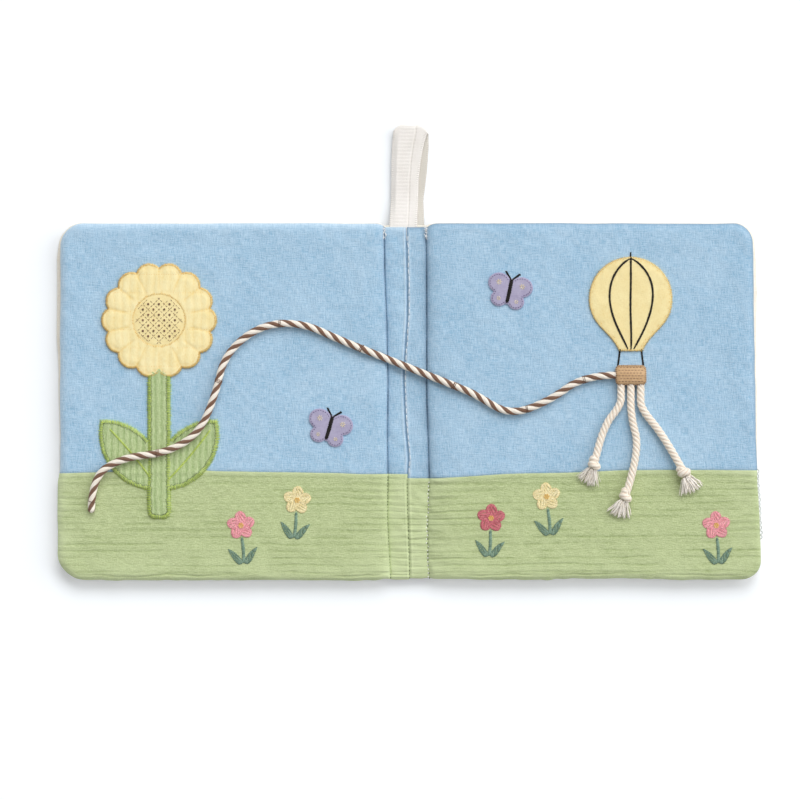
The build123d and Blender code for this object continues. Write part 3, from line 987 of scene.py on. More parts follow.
    def height(self, side: Side, u: np.ndarray, v: np.ndarray, inner: np.ndarray) -> np.ndarray:
        """Height of the page's upper face, without the wales.

        Args:
            side: The page.
            u: Distance out from the middle of the spine.
            v: Height up the page.
            inner: Distance in from the finished edge.

        Returns:
            The height above the table.
        """
        noise = self.noises[side]
        line, loose = self.fold_line(side, v), self.loose_fold(side, v)
        fold = np.clip(u - line, 0, None)
        body = shoulder(fold, self.valley_run, 3.0) * (1 - loose) + shoulder(fold, 17, 1.7) * loose
        crown = self.crown * (1 - ((u - 102) / 92) ** 2) * (1 - (v / 100) ** 2)
        lumps = 0.16 * noise[2](u / 23, v / 23) + 0.09 * noise[3](u / 8, v / 8)
        full = self.spine_top + (self.page_top - self.spine_top + crown + lumps) * body
        seam_at = side.value * self.seam(v)
        off = np.abs(u - seam_at)
        arch = np.sin(math.pi * np.clip(off / (line - seam_at), 0, 1))
        puff = 0.55 * np.clip(arch, 0, 1) ** 0.6 + 0.42 * noise[4](u / 5, v / 4.2) * arch
        puff = puff + 0.24 * self.noises[Side.RIGHT][5](v / 2.7, 3.1) * np.exp(-off / 3)
        full = full + np.where(u < line, puff, 0)
        full = full - (0.3 + 0.5 * ease(v, -42, -38)) * bell(off, 0.55)
        full = full + 0.3 * bell(off - 1.3, 0.6)
        groove = 0.45 - 0.3 * loose if side is Side.RIGHT else 0.65
        full = full - groove * bell(u - line, 0.5)
        gathers = (0.34 + 0.4 * loose) * noise[5](v / (4.6 - 1.4 * loose), u / 9)
        full = full + gathers * np.exp(-fold / (5 + 4 * loose)) * ease(fold, 0.4, 2.5)
        edge_x = np.abs(PAGE_EDGE - u)
        edge_y = HALF_HEIGHT - np.abs(v)
        pucker = 0.30 * noise[6](v / 4.4, u / 16) * np.exp(-edge_x / 6)
        pucker = pucker + 0.30 * noise[7](u / 4.6, v / 16) * np.exp(-np.clip(edge_y, 0, None) / 6)
        full = full + pucker * ease(inner, 0.4, 3) * body
        full = full + self.stuffed(side, u, v) * body * ease(inner, 0.2, 3)
        across_cord = np.abs(v - (20 - 0.4 * side.value * u)) / 1.08
        full = full - 0.95 * bell(across_cord, 2.6) * ease(u, 11.6, 12.4) * (1 - ease(u, 18, 26))
        seam = self.spine_seam + (self.page_seam - self.spine_seam) * body
        seam = seam + 0.25 * noise[8](v / 11, u / 11) * body
        return seam + (full - seam) * shoulder(inner, self.edge_run, 2.1)

    def ground_relief(self, side: Side, u: np.ndarray, v: np.ndarray, inner: np.ndarray) -> tuple:
        """Wales and the turned edge of the ground cloth.

        Args:
            side: The page.
            u: Distance out from the middle of the spine.
            v: Height up the page.
            inner: Distance in from the finished edge.

        Returns:
            The added height, the crests' tone with painted shade in the grooves, the hem crease, the
            middle seam and the right edge, and the pale places, partly wear and partly painted light.
        """
        noise = self.noises[side]
        phase = 1.3 * noise[2](u / 60, v / 26 + 9) + 0.5 * noise[3](u / 13, v / 5 + 5)
        ridge = np.abs(np.sin(math.pi * (v + phase) / self.wale)) ** 0.55
        fine = np.abs(np.sin(math.pi * (v + 1.4 * phase) / (self.wale * 0.47))) ** 0.8
        line, loose = self.fold_line(side, v), self.loose_fold(side, v)
        fold = np.clip(u - line, 0, None)
        near_fold = np.exp(
            -fold / (11 + 5 * loose)
        ) * (1 + 0.35 * loose) * np.where(u < line, 0.75, 1.0)
        near_edge = np.exp(-np.clip(inner, 0, None) / 12)
        patchy = 0.75 + 0.9 * noise[4](u / 21, v / 4.4) + 0.5 * noise[5](u / 7, v / 3.1)
        depth = (0.19 + 0.55 * near_fold + 0.42 * near_edge) * np.clip(patchy, 0.08, 1.7)
        ridge = 0.72 * ridge + 0.28 * fine
        below = self.horizon(side, u) - v
        turned = 1 - ease(below, 1.4, 3.8)
        lift = depth * (ridge - 0.7) * (1 - 0.8 * turned) + 0.3 * turned * ease(below, -0.2, 0.6)
        lift = lift - 0.07 * bell(below - 2.6, 0.5) * np.clip(0.6 + noise[6](u / 5, 1.7), 0, 1)
        hem = bell(inner - 2.6 - 0.8 * noise[7](u / 19, 3.3), 0.5)
        hem = hem * ease(noise[8](u / 26, v / 40), -0.5, 0.1) * ease(PAGE_EDGE - u, 4, 12)
        lift = (lift - 0.5 * hem) * ease(inner, 0.0, 1.2)
        off = np.abs(u - side.value * self.seam(v))
        rim = np.exp(-np.clip(PAGE_EDGE - u, 0, None) / 1.6) * (1 if side is Side.RIGHT else 0)
        # Painted shade: darker wale grooves, a darker hem crease, the right page's edge and the middle
        # seam's valley.
        tone = 1 - (1 - ridge) * np.clip(depth * 3.0, 0.1, 1) - 0.6 * hem - 0.1 * rim
        tone = tone - 0.2 * bell(off, 0.5)
        # Paler towards the edges and on the turned hem; painted light beside the folds, on the spine, on
        # the ridge beside the middle seam and along the left page's edge, taken back at the right edge.
        worn = 0.8 * near_edge + 0.75 * turned + 0.35 * near_fold + 0.5 * bell(off - 1.4, 0.7)
        worn = worn + np.where(u < line, 0.6, 0.3 * np.exp(-fold / 14))
        worn = worn + 0.6 * np.exp(
            -np.clip(PAGE_EDGE - u, 0, None) / 3
        ) * (0 if side is Side.RIGHT else 1)
        worn = np.clip(worn - 0.3 * rim, 0, 1.25)
        return lift, tone, worn

    def top(self, x: np.ndarray, y: np.ndarray) -> np.ndarray:
        """Height of the cloth at any plan point well inside the edges."""
        x, y = np.broadcast_arrays(np.asarray(x, float), np.asarray(y, float))
        u, far = np.abs(x), np.full(x.shape, 40.0)
        heights = []
        for side in Side:
            z = self.height(side, u, y, far)
            lift, _, _ = self.ground_relief(side, u, y, far)
            heights.append(np.where(y < self.horizon(side, u), z + lift, z))
        return np.where(x >= 0, heights[0], heights[1])


BOOK = BookShape()


@dataclass
class StuffedFace:
    """Cloth simulation of one page's face, sewn down all round and swollen by its wadding.

    The wadding holds the cloth by weak springs, so the small surplus of cloth gathers into
    puckers that run in from the seams, as it does on a washed quilted page.
    """

    side: Side
    step: float = 2.6
    last_frame: int = 20
    surplus: float = 0.035
    pressure: float = 4.0
    cap: float = 2.5
    swelling: float = 0.24

    def sheet(self) -> tuple[bpy.types.Object, np.ndarray, np.ndarray]:
        """Make the flat cloth with its sewn edges.

        Returns:
            The cloth and the places of its threads out and up.
        """
        u = np.linspace(FOLD_X, PAGE_EDGE, int((PAGE_EDGE - FOLD_X) / self.step))
        v = np.linspace(-HALF_HEIGHT, HALF_HEIGHT, int(2 * HALF_HEIGHT / self.step))
        grid_u, grid_v = np.meshgrid(u, v)
        noise = BOOK.noises[self.side][5]
        z = 10.0 + 0.12 * noise(grid_u / 4.3, grid_v / 4.3)
        points = np.stack([self.side.value * grid_u, grid_v, z], -1).reshape(-1, 3)
        mesh = bpy.data.meshes.new("stuffed_face")
        mesh.from_pydata(
            to_frame(points).tolist(), [], grid_faces(len(v), len(u), flip=self.side is Side.RIGHT)
        )
        cloth = bpy.data.objects.new("stuffed_face", mesh)
        bpy.context.scene.collection.objects.link(cloth)
        border = np.minimum(
            np.minimum(grid_u - FOLD_X, PAGE_EDGE - grid_u), HALF_HEIGHT - np.abs(grid_v)
        ).ravel()
        group = cloth.vertex_groups.new(name="sewn")
        hold = np.where(border < 0.1, 1.0, 0.04 + 0.3 * ease(border, 4, 34))
        for number, weight in enumerate(hold.tolist()):
            group.add([number], weight, "REPLACE")
        return cloth, u, v

    def run(self) -> None:
        """Simulate the cloth and store how far it stands off its flat place."""
        cloth, u, v = self.sheet()
        stuffing = cloth.modifiers.new("stuffing", "CLOTH")
        settings = {
            "quality": 6, "mass": 0.15, "tension_stiffness": 25, "compression_stiffness": 25,
            "shear_stiffness": 8, "bending_stiffness": 0.02, "use_pressure": True,
            "uniform_pressure_force": self.pressure, "shrink_min": -self.surplus,
            "vertex_group_mass": "sewn", "pin_stiffness": 1.0,
        }
        for key, value in settings.items():
            setattr(stuffing.settings, key, value)
        stuffing.settings.effector_weights.gravity = 0.0
        stuffing.point_cache.frame_start = 1
        stuffing.point_cache.frame_end = self.last_frame
        scene = bpy.context.scene
        for frame in range(1, self.last_frame + 1):
            scene.frame_set(frame)
        view = cloth.evaluated_get(bpy.context.evaluated_depsgraph_get())
        moved = np.array([p.co.z for p in view.data.vertices])
        still = np.array([p.co.z for p in cloth.data.vertices])
        swelling = np.clip((moved - still) / MM, -self.cap, self.cap).reshape(len(v), len(u))
        scene.frame_set(1)
        mesh = cloth.data
        bpy.data.objects.remove(cloth)
        bpy.data.meshes.remove(mesh)
        spread = float(np.percentile(np.abs(swelling), 95))
        most = float(np.abs(swelling).max())
        LOG.info("stuffed %s: moved %.3f mm, %.3f mm at the 95th percentile", self.side.word, most, spread)
        if spread > 1e-4:
            BOOK.relief[self.side] = (u, v, swelling * min(self.swelling / spread, 40.0))


def graded(stops: Sequence[tuple[float, float]]) -> np.ndarray:
    """Grid lines whose spacing changes from stop to stop.

    Args:
        stops: Places with the step wished at each, in rising order.

    Returns:
        The places of the grid lines.
    """
    lines = [stops[0][0]]
    for (start, step_a), (end, step_b) in zip(stops, stops[1:]):
        count = max(int(round((end - start) / ((step_a + step_b) / 2))), 1)
        t = np.linspace(0, 1, count + 1)[1:]
        bend = (step_b - step_a) / (step_a + step_b)
        lines.extend(start + (end - start) * (t * (1 - bend) + t * t * bend))
    return np.array(lines)


@dataclass
class PageCloths:
    """The sky and ground cloths of one page, from the seam in the spine to the page's edge."""

    side: Side
    fine: float = 1.15

    def columns(self) -> np.ndarray:
        """Grid lines out from the spine, close together at the seams and the edge."""
        end = PAGE_EDGE
        return graded(
            [(0, 0.25), (2.0, 0.3), (4.0, 1.2), (8.5, 1.2), (10.6, 0.3), (12.4, 0.25), (15, 0.6), (
                24, self.fine
            ),
             (end - 9, self.fine), (end - 4, 0.7), (end - 1, 0.3), (end - 0.2, 0.12), (end, 0.08)]
        )

    def sky(self) -> Skin:
        """Build the sky cloth.

        Returns:
            Its outer face, turned under at the edge.
        """
        top = HALF_HEIGHT
        u = self.columns()
        share = graded([(0, 0.0035), (0.025, 0.006), (0.06, 0.0085), (1, 0.0085)])
        start = BOOK.horizon(self.side, u) - 0.35
        rows = [start + (top - 9 - start) * s for s in share]
        edge = graded(
            [(top - 9, self.fine), (top - 4, 0.7), (top - 1, 0.3), (top - 0.2, 0.12), (top, 0.08)]
        )
        rows += [np.full(len(u), line) for line in edge[1:]]
        return self.cloth(u, np.array(rows), ground=False)

    def ground(self) -> Skin:
        """Build the ground cloth with its wales.

        Returns:
            Its outer face, turned under at the edge.
        """
        u = self.columns()
        low = -HALF_HEIGHT
        edge = graded(
            [(low, 0.08), (low + 0.2, 0.12), (low + 1, 0.3), (low + 4, 0.5), (low + 9, 0.5)]
        )
        share = graded([(0, 0.0092), (0.93, 0.0092), (0.97, 0.006), (1, 0.004)])
        start = low + 9
        horizon = BOOK.horizon(self.side, u)
        rows = [np.full(len(u), line) for line in edge]
        rows += [start + (horizon - start) * s for s in share[1:]]
        return self.cloth(u, np.array(rows), ground=True)

    def cloth(self, u: np.ndarray, rows: np.ndarray, ground: bool) -> Skin:
        """Place one cloth's grid on the book.

        Args:
            u: Grid lines out from the spine.
            rows: Height up the page at each row and column.
            ground: Whether it is the corduroy ground.

        Returns:
            The cloth's skin.
        """
        across = BOOK.drawn(self.side, np.broadcast_to(u, rows.shape), rows)
        out, v, inner = BOOK.plan(self.side, across, rows)
        z = BOOK.height(self.side, out, v, inner)
        if ground:
            lift, tone, worn = BOOK.ground_relief(self.side, out, v, inner)
            z = z + lift
        else:
            above = np.clip(v - BOOK.horizon(self.side, out), 0, None)
            z = z - 0.35 * np.exp(-above / 0.7)
            # painted light and painted shade on the sky
            worn, tone = self.painted_light_and_shade(out, v, inner, above)
        side = self.side.value
        points = np.stack([side * out, v, z], -1)
        lay = np.stack([side * across, rows, np.zeros(rows.shape)], -1)
        faces = grid_faces(*rows.shape, flip=side > 0)
        skin = Skin(points.reshape(-1, 3), faces, lay.reshape(-1, 3), tone.ravel(), worn.ravel())
        return Skin.joined([skin, self.turned(points, inner, lay)])

    def painted_light_and_shade(self, u: np.ndarray, v: np.ndarray, inner: np.ndarray, above: np.ndarray) -> tuple:
        """Paint light and shade on the sky: highlights on the seams' ridges, shade in their valleys.

        Args:
            u: Distance out from the middle of the spine.
            v: Height up the page.
            inner: Distance in from the finished edge.
            above: Distance above the horizon.

        Returns:
            The painted light and the painted shade.
        """
        off = np.abs(u - self.side.value * BOOK.seam(v))
        fold = np.abs(u - BOOK.fold_line(self.side, v))
        wander = BOOK.noises[self.side][4](v / 6, 4.4)
        # Painted highlight on the ridges beside the middle seam; painted shade in the seam, along the fold
        # lines, in a band beside each fold and just above the horizon.
        pale = 0.55 * bell(off - 1.3, 0.6) * (1 + 0.6 * wander)
        dark = 0.55 * bell(off, 0.4) + 0.6 * bell(fold, 0.4)
        dark = dark + (0.2 + 0.3 * wander) * np.exp(-fold / 2.6) + 0.4 * np.exp(-above / 0.5)
        # Painted shade along the right page's edge with a faint band out from its fold, and painted light
        # along the left page's edge.
        if self.side is Side.RIGHT:
            dark = dark + 0.9 * np.exp(-np.clip(inner, 0, None) / 1.2) + 0.1 * np.exp(-fold / 18)
        else:
            pale = pale + 0.8 * np.exp(-np.clip(inner, 0, None) / 1.8)
        return np.clip(pale, 0, 1), np.clip(dark, 0, 1)

    def turned(self, points: np.ndarray, inner: np.ndarray, lay: np.ndarray) -> Skin:
        """Turn the cloth's outer edge in below the seam.

        Args:
            points: The cloth's grid of points.
            inner: Their distance in from the edge.
            lay: Their pattern coordinates.

        Returns:
            A narrow strip that runs in and down from the edge.
        """
        at_head = inner[-1, 0] < 0.01
        grids = (points, lay) if at_head else (points[::-1], lay[::-1])
        line, mark = (np.concatenate([grid[:-1, -1], grid[-1, ::-1]]) for grid in grids)
        centre = np.array([self.side.value * 100.0, 0.0, 0.0])
        inward = (centre - line) * (1, 1, 0)
        inward /= np.linalg.norm(inward, axis=1, keepdims=True)
        strips = [line, line + inward * 0.5 + (0, 0, -0.45), line + inward * 1.6 + (0, 0, -0.7)]
        grid = np.stack(strips)
        faces = grid_faces(3, len(line), flip=(self.side is Side.RIGHT) == at_head)
        count = 3 * len(line)
        return Skin(
            grid.reshape(-1, 3), faces, np.tile(mark, (3, 1)), np.zeros(count), np.full(count, 0.3)
        )

    def backing(self) -> Skin:
        """Build the cream cloth under the page.

        Returns:
            A shallow tray from the spine's seam to the page's edge.
        """
        end, top = PAGE_EDGE, HALF_HEIGHT
        u = graded(
            [(0, 3), (10, 0.8), (13, 0.6), (24, 4), (end - 8, 4), (end - 1, 0.7), (end, 0.25)]
        )
        v = graded(
            [(-top, 0.25), (1 - top, 0.7), (8 - top, 4), (top - 8, 4), (top - 1, 0.7), (top, 0.25)]
        )
        rows = np.broadcast_to(v[:, None], (len(v), len(u)))
        across = np.broadcast_to(u, rows.shape)
        out, v2, inner = BOOK.plan(self.side, across, rows)
        body = shoulder(np.clip(out - FOLD_X, 0, None), 9.5, 2)
        seam = BOOK.spine_seam - 0.15 + (BOOK.page_seam - 0.35 - BOOK.spine_seam) * body
        flat = 5.3
        z = seam + (flat - seam) * shoulder(inner, 3.2, 2)
        side = self.side.value
        shrink = 0.35 * np.exp(-inner / 1.5)
        points = np.stack([side * (out - shrink), v2 - np.sign(v2) * shrink, z], -1)
        return Skin(points.reshape(-1, 3), grid_faces(len(v), len(u), flip=side < 0))

    def build(self) -> None:
        """Make the page's three cloths and hide the frame's parts that they replace."""
        word = self.side.word
        made = [
            self.sky().piece(f"page_sky_{word}", SKY_COTTON, "sky_cotton"),
            self.ground().piece(f"page_ground_{word}", GREEN_CORDUROY, "green_corduroy"),
            self.backing().piece(f"page_back_{word}", CREAM_COTTON, "cream_cotton"),
        ]
        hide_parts(f"{word}_sky_panel", f"{word}_page_wadding", "spine_sky_strips")
        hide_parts(f"{word}_grass_panel", "spine_grass_strips")
        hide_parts(f"{word}_page_backing", "spine_backing")
        for piece in made:
            over_fold(piece)


def over_fold(piece: bpy.types.Object) -> None:
    """Bake the transform of a piece that lies over the fold line into its mesh.

    Args:
        piece: The piece that crosses the fold.
    """
    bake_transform(piece)


@dataclass
class CoverLeaf:
    """The padded cream cover under one page, with its half of the spine."""

    side: Side
    top_z: float = 5.05
    seam_z: float = 2.7
    spine_low: float = 4.0
    edge_run: float = 4.0

    def face(self, upper: bool) -> Skin:
        """Build the lining or the outer cloth.

        Args:
            upper: Whether it is the lining, which faces the page.

        Returns:
            The cloth's skin.
        """
        end, top = PAGE_EDGE, HALF_HEIGHT
        u = graded(
            [(0, 1.5), (9, 0.8), (13, 0.5), (24, 2), (end - 8, 2), (end - 1, 0.5), (end, 0.12)]
        )
        v = graded(
            [(-top, 0.12), (1 - top, 0.5), (8 - top, 2), (top - 8, 2), (top - 1, 0.5), (top, 0.12)]
        )
        rows = np.broadcast_to(v[:, None], (len(v), len(u)))
        across = np.broadcast_to(u, rows.shape)
        out, high, inner = BOOK.plan(self.side, across, rows, cover=True)
        noise = BOOK.noises[self.side]
        body = shoulder(np.clip(out - FOLD_X, 0, None), 9.5, 2)
        seam = 4.6 + (self.seam_z - 4.6) * body
        if upper:
            full = np.full(rows.shape, self.top_z)
        else:
            full = self.spine_low * (1 - body)
            full = full + 0.35 * bell(out - FOLD_X, 0.7)
        ripple = 0.28 * noise[6](high / 4.2, out / 16) * np.exp(-np.abs(PAGE_EDGE - out) / 6)
        ripple = ripple + 0.28 * noise[7](out / 4.4, high / 16) * np.exp(
            -np.clip(HALF_HEIGHT - np.abs(high), 0, None) / 6
        )
        full = full + (np.abs(ripple) * ease(inner, 0.3, 2) * (-1 if upper else 1))
        z = seam + (full - seam) * shoulder(inner, self.edge_run, 2)
        side = self.side.value
        points = np.stack([side * out, high, np.clip(z, 0.02, None)], -1)
        flip = side > 0 if upper else side < 0
        return Skin(points.reshape(-1, 3), grid_faces(len(v), len(u), flip=flip))

    def build(self) -> None:
        """Make the cover leaf and hide the frame's parts that it replaces."""
        word = self.side.word
        piece = Skin.joined([self.face(True), self.face(False)]).piece(
            f"cover_{word}", CREAM_COTTON, "cream_cotton"
        )
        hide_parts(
            f"{word}_cover_outer", f"{word}_cover_wadding", f"{word}_cover_lining",
            "spine_cover", "spine_lining",
        )
        over_fold(piece)


# Cords


def route_line(points: Sequence[Sequence[float]], steps: int = 28) -> np.ndarray:
    """Centreline of a cord, read from the smooth curve that its route gives.

    Args:
        points: The route's points in millimetres.
        steps: Points read along each stretch of the curve.

    Returns:
        Close points along the curve, in millimetres.
    """
    curve = bpy.data.curves.new("route", "CURVE")
    curve.dimensions = "3D"
    curve.resolution_u = steps
    spline = curve.splines.new("NURBS")
    spline.points.add(len(points) - 1)
    for point, (x, y, z) in zip(spline.points, to_frame(points)):
        point.co = (x, y, z, 1)
    spline.order_u = 3
    spline.use_endpoint_u = True
    carrier = bpy.data.objects.new("route", curve)
    bpy.context.scene.collection.objects.link(carrier)
    bpy.context.view_layer.update()
    mesh = bpy.data.meshes.new_from_object(carrier)
    line = np.array([v.co for v in mesh.vertices]) / MM - (0.0, PAGE_SHIFT, 0.0)
    bpy.data.objects.remove(carrier)
    bpy.data.curves.remove(curve)
    bpy.data.meshes.remove(mesh)
    return line


@dataclass
class Lay:
    """How a cord is laid: its thickness, strands and twist."""

    diameter: float
    strands: int
    pitch: float
    hand: int
    hub: float
    step: float = 0.45
    around: int = 8

    def profile(self) -> tuple[np.ndarray, np.ndarray, np.ndarray]:
        """Angles, radii and groove depths round the cord.

        Returns:
            For each point of the section, its angle, its radius and how deep in a groove it lies.
        """
        count = self.strands * self.around
        angle = np.arange(count) * 2 * math.pi / count
        local = (
            angle + math.pi / self.strands
        ) % (2 * math.pi / self.strands) - math.pi / self.strands
        outer = self.diameter / 2
        hub, strand = outer * self.hub, outer * (1 - self.hub)
        radius = hub * np.cos(local) + np.sqrt(
            np.clip(strand**2 - (hub * np.sin(local)) ** 2, 0, None)
        )
        groove = ease(np.abs(local) / (math.pi / self.strands), 0.55, 1.0)
        return angle, radius, groove

    def tube(
        self,
        line: np.ndarray,
        start: float = 0.0,
        round_ends: tuple[bool, bool] = (False, False),
        carried: bool = False,
    ) -> Skin:
        """Lay the strands along a line.

        Args:
            line: Centreline points.
            start: Length along the cord where the line starts, which sets the twist there.
            round_ends: Whether the first and the last end are rounded off.
            carried: Whether the line may turn any way, as it does in a knot.

        Returns:
            The cord's skin, with the strand's number in worn and the grooves in tone.
        """
        line = resample(line, self.step, closed=False)
        _, left, up = carried_frames(line) if carried else frames(line)
        run = run_along(line)
        angle, radius, groove = self.profile()
        turned = angle + self.hand * 2 * math.pi * (run + start)[:, None] / self.pitch
        size = np.ones(len(line))
        for rounded, distance in zip(round_ends, (run, run[-1] - run)):
            if rounded:
                near = 1 - np.clip(distance / (self.diameter / 2), 0, 1)
                size *= np.sqrt(np.clip(1 - near**2, 0.06, 1))
        wide = (radius * size[:, None])[..., None]
        ring = np.cos(turned)[..., None] * left[:, None] + np.sin(turned)[..., None] * up[:, None]
        points = line[:, None] + ring * wide
        count = len(angle)
        index = np.arange(points.shape[0] * count).reshape(-1, count)
        after = np.roll(index, -1, axis=1)
        faces = np.stack([index[:-1], after[:-1], after[1:], index[1:]], -1).reshape(-1, 4).tolist()
        faces += [index[0, ::-1].tolist(), index[-1].tolist()]
        strand = np.round(angle / (2 * math.pi / self.strands)).astype(int) % self.strands
        shape = points.shape[:2]
        lay = spread(shape, (run + start)[:, None], angle * self.diameter / 2, strand * 9.0)
        marks = spread(shape, groove, strand % 2).reshape(-1, 2)
        return Skin(points.reshape(-1, 3), faces, lay.reshape(-1, 3), *marks.T)


TWO_TONE = Lay(diameter=4.2, strands=4, pitch=17.4, hand=1, hub=0.36)
SOFT_ROPE = Lay(diameter=4.4, strands=4, pitch=11.2, hand=-1, hub=0.4)
WOUND_ROPE = Lay(diameter=3.9, strands=4, pitch=9.5, hand=-1, hub=0.4)


@dataclass
class TwistedCord:
    """The brown and cream cord, one length on each side of the spine's middle."""

    rest: float = 12.65
    over_felt: float = 13.85
    low: float = 10.05
    tack_places: ClassVar[dict] = {
        Side.RIGHT: (28.0, 72.0, 108.0), Side.LEFT: (28.0, 76.0, 126.0, 182.0, 233.0)
    }

    def routes(self) -> dict[Side, list]:
        """Route points of both lengths, each starting at the middle of the spine."""
        rest, felt, low = self.rest, self.over_felt, self.low
        right = [
            (0, 20, low), (5, 18, low), (10.5, 15.8, low), (18, 12.8, rest), (
                23.5, 10.6, rest
            ), (37.5, 5.0, rest),
            (56.5, -7, rest), (78.5, 1, rest), (98.35, 15.5, rest), (117.0, 15.5, rest),
        ]
        left = [
            (0, 20, low), (-5, 22, low), (-10.5, 24.2, low), (-18, 27.2, rest), (
                -23.5, 29.4, rest
            ), (-36.5, 34.6, rest),
            (-59.5, 45, rest), (-82.5, 43, rest), (-101.5, 27, rest), (-106.5, 5, felt), (
                -115.5, -17, felt
            ),
            (-134.5, -28, felt), (-157.5, -30, felt), (-175.5, -41, felt), (-175.5, -61, rest),
        ]
        return {Side.RIGHT: right, Side.LEFT: left}

    def build(self) -> None:
        for side, route in self.routes().items():
            line = route_line(route)
            length = float(np.linalg.norm(np.diff(line, axis=0), axis=1).sum())
            if side is Side.RIGHT:
                line = line[::-1]
                skin = TWO_TONE.tube(line, start=-length)
            else:
                skin = TWO_TONE.tube(line, round_ends=(False, True))
            piece = skin.piece(f"twisted_cord_{side.word}", CORD_YARN, "brown_cream_cord")
            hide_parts(f"cord_{side.word}", f"cord_bend_{side.word}", "cord_spine")
            over_fold(piece)
            self.tacks(side, line[::-1] if side is Side.RIGHT else line)
            LOG.info("%s length %.1f mm", piece.name, length)

    def tacks(self, side: Side, line: np.ndarray) -> None:
        """Sew the cord down with a few turns of thread at each tack.

        Args:
            side: The half of the book.
            line: Centreline from the spine's middle outwards.
        """
        run = run_along(line)
        along, left, up = frames(line)
        turn = np.radians(np.linspace(-112, 112, 9))
        reach = TWO_TONE.diameter / 2 + 0.05
        paths = []
        for place in self.tack_places[side]:
            for shift in (-0.55, 0.0, 0.55):
                at = int(np.argmin(np.abs(run - place - shift)))
                slant = along[at] * 0.5 * (turn / turn[-1])[:, None]
                ring = np.sin(turn)[:, None] * left[at] + np.cos(turn)[:, None] * up[at]
                paths.append(line[at] + reach * ring + slant)
        threads_piece(f"cord_tacks_{side.word}", BROWN_THREAD, side.body, 0.17, np.array(paths))


@dataclass
class KnottedRopes:
    """Three soft cream ropes that fan out from the basket, each with a knot and a frayed end."""

    rest: float = 12.75
    knot_rest: float = 14.35
    fray_length: float = 10.0

    def routes(self) -> list[list]:
        """Route points of the three ropes, from under the basket to the knot."""
        z, k = self.rest, self.knot_rest
        return [
            [(118.5, 13, z), (118.5, 6, z), (118.5, -1.15, z), (108.5, -13.15, z), (104.5, -30.15, k)],
            [(124, 13, z), (124, 6, z), (124, -7.15, z), (129, -26.15, z), (122, -48.15, k)],
            [(129.5, 13, z), (129.5, 5, z), (129.5, -3.15, z), (141.5, -17.15, z), (151.5, -35.15, k)],
        ]

    def knot(self, end: np.ndarray, along: np.ndarray, turn: float) -> Skin:
        """Tie an overhand knot: the rope winds nearly twice round itself.

        Args:
            end: Where the rope runs into the knot.
            along: Direction of the rope there.
            turn: Angle at which the winding starts.

        Returns:
            The wound strands of the knot.
        """
        left = np.cross(UP, along)
        t = np.linspace(0, 1, 70)
        swing = turn + t * 2 * math.pi * 1.8
        wide = 2.05 * np.sin(math.pi * np.clip(t, 0.02, 0.98)) ** 0.4
        axis = end + along * (1.3 + 4.9 * t[:, None] + 1.1 * np.cos(swing)[:, None])
        line = axis + wide[:, None] * (
            np.cos(swing)[:, None] * left + 0.9 * np.sin(swing)[:, None] * UP
        )
        return WOUND_ROPE.tube(line, start=turn * 7, round_ends=(True, True), carried=True)

    def fray(self, start: np.ndarray, along: np.ndarray, seed: int) -> Skin:
        """Fan out the loose yarns beyond the knot, with some fine stray fibres.

        Args:
            start: Where the yarns leave the knot.
            along: Direction of the rope's end.
            seed: Seed of the yarns' lie.

        Returns:
            All the yarns.
        """
        rng = np.random.default_rng(seed)
        thick, fine = 64, 26
        count = thick + fine
        left = np.cross(UP, along)
        fan = np.clip(rng.normal(0, 0.46, count), -1.0, 1.0)
        fan[thick:] *= 1.35
        layer = rng.uniform(-1, 1, count)
        reach = self.fray_length * rng.uniform(0.7, 1.05, count) * np.cos(fan * 0.5)
        t = np.linspace(0, 1, 9)
        forward = t * reach[:, None]
        curl = rng.normal(
            0, 0.5, (count, 1)
        ) * t**2 + rng.normal(0, 0.2, (count, 1)) * np.sin(t * 8)
        sideways = np.tan(fan * 0.62)[:, None] * forward + curl + (fan * 2.2)[:, None] * (
            1 - 0.4 * t
        )
        drop = layer[:, None] * (1.5 - 0.7 * t) - 2.0 * t**1.5
        paths = start + along * forward[
            ..., None
        ] + left * sideways[..., None] + UP * drop[..., None]
        radius = np.where(np.arange(count) < thick, rng.uniform(0.26, 0.36, count), 0.13)
        return threads(paths, radius, sides=5, tint=seed)

    def build(self) -> None:
        for number, route in enumerate(self.routes(), start=1):
            line = route_line(route)
            along = line[-1] - line[-6]
            along[2] = 0
            along /= np.linalg.norm(along)
            inner = np.concatenate([line, line[-1] + along * np.linspace(0.4, 3.2, 8)[:, None]])
            rope = SOFT_ROPE.tube(inner).piece(f"rope_{number}_strands", CREAM_ROPE, "cream_rope")
            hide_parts(f"rope_{number}")
            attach(rope, "right_half")
            knot = self.knot(line[-1], along, 0.6 * number).piece(
                f"rope_{number}_knot_wraps", CREAM_ROPE, "cream_rope"
            )
            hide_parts(f"rope_{number}_knot")
            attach(knot, "right_half")
            fray = self.fray(line[-1] + along * 6.2, along, 300 + number)
            fray = fray.piece(f"rope_{number}_fray", FRAYED_YARN, "cream_rope")
            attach(fray, "right_half")


# Stitches


def running(
    line: np.ndarray, height: Field, stitch: float, gap: float, rise: float = 0.14
) -> np.ndarray:
    """Running stitches along an open plan line.

    Args:
        line: Plan points of the line.
        height: Height of the cloth.
        stitch: Length of a stitch.
        gap: Space between two stitches.
        rise: How far a stitch stands off the cloth.

    Returns:
        Five points for each stitch.
    """
    run = run_along(line)
    first = np.arange(0, run[-1] - stitch, stitch + gap)
    at = np.stack([first, first + stitch])
    return stitches(*read_at(at, run, line), height, rise)


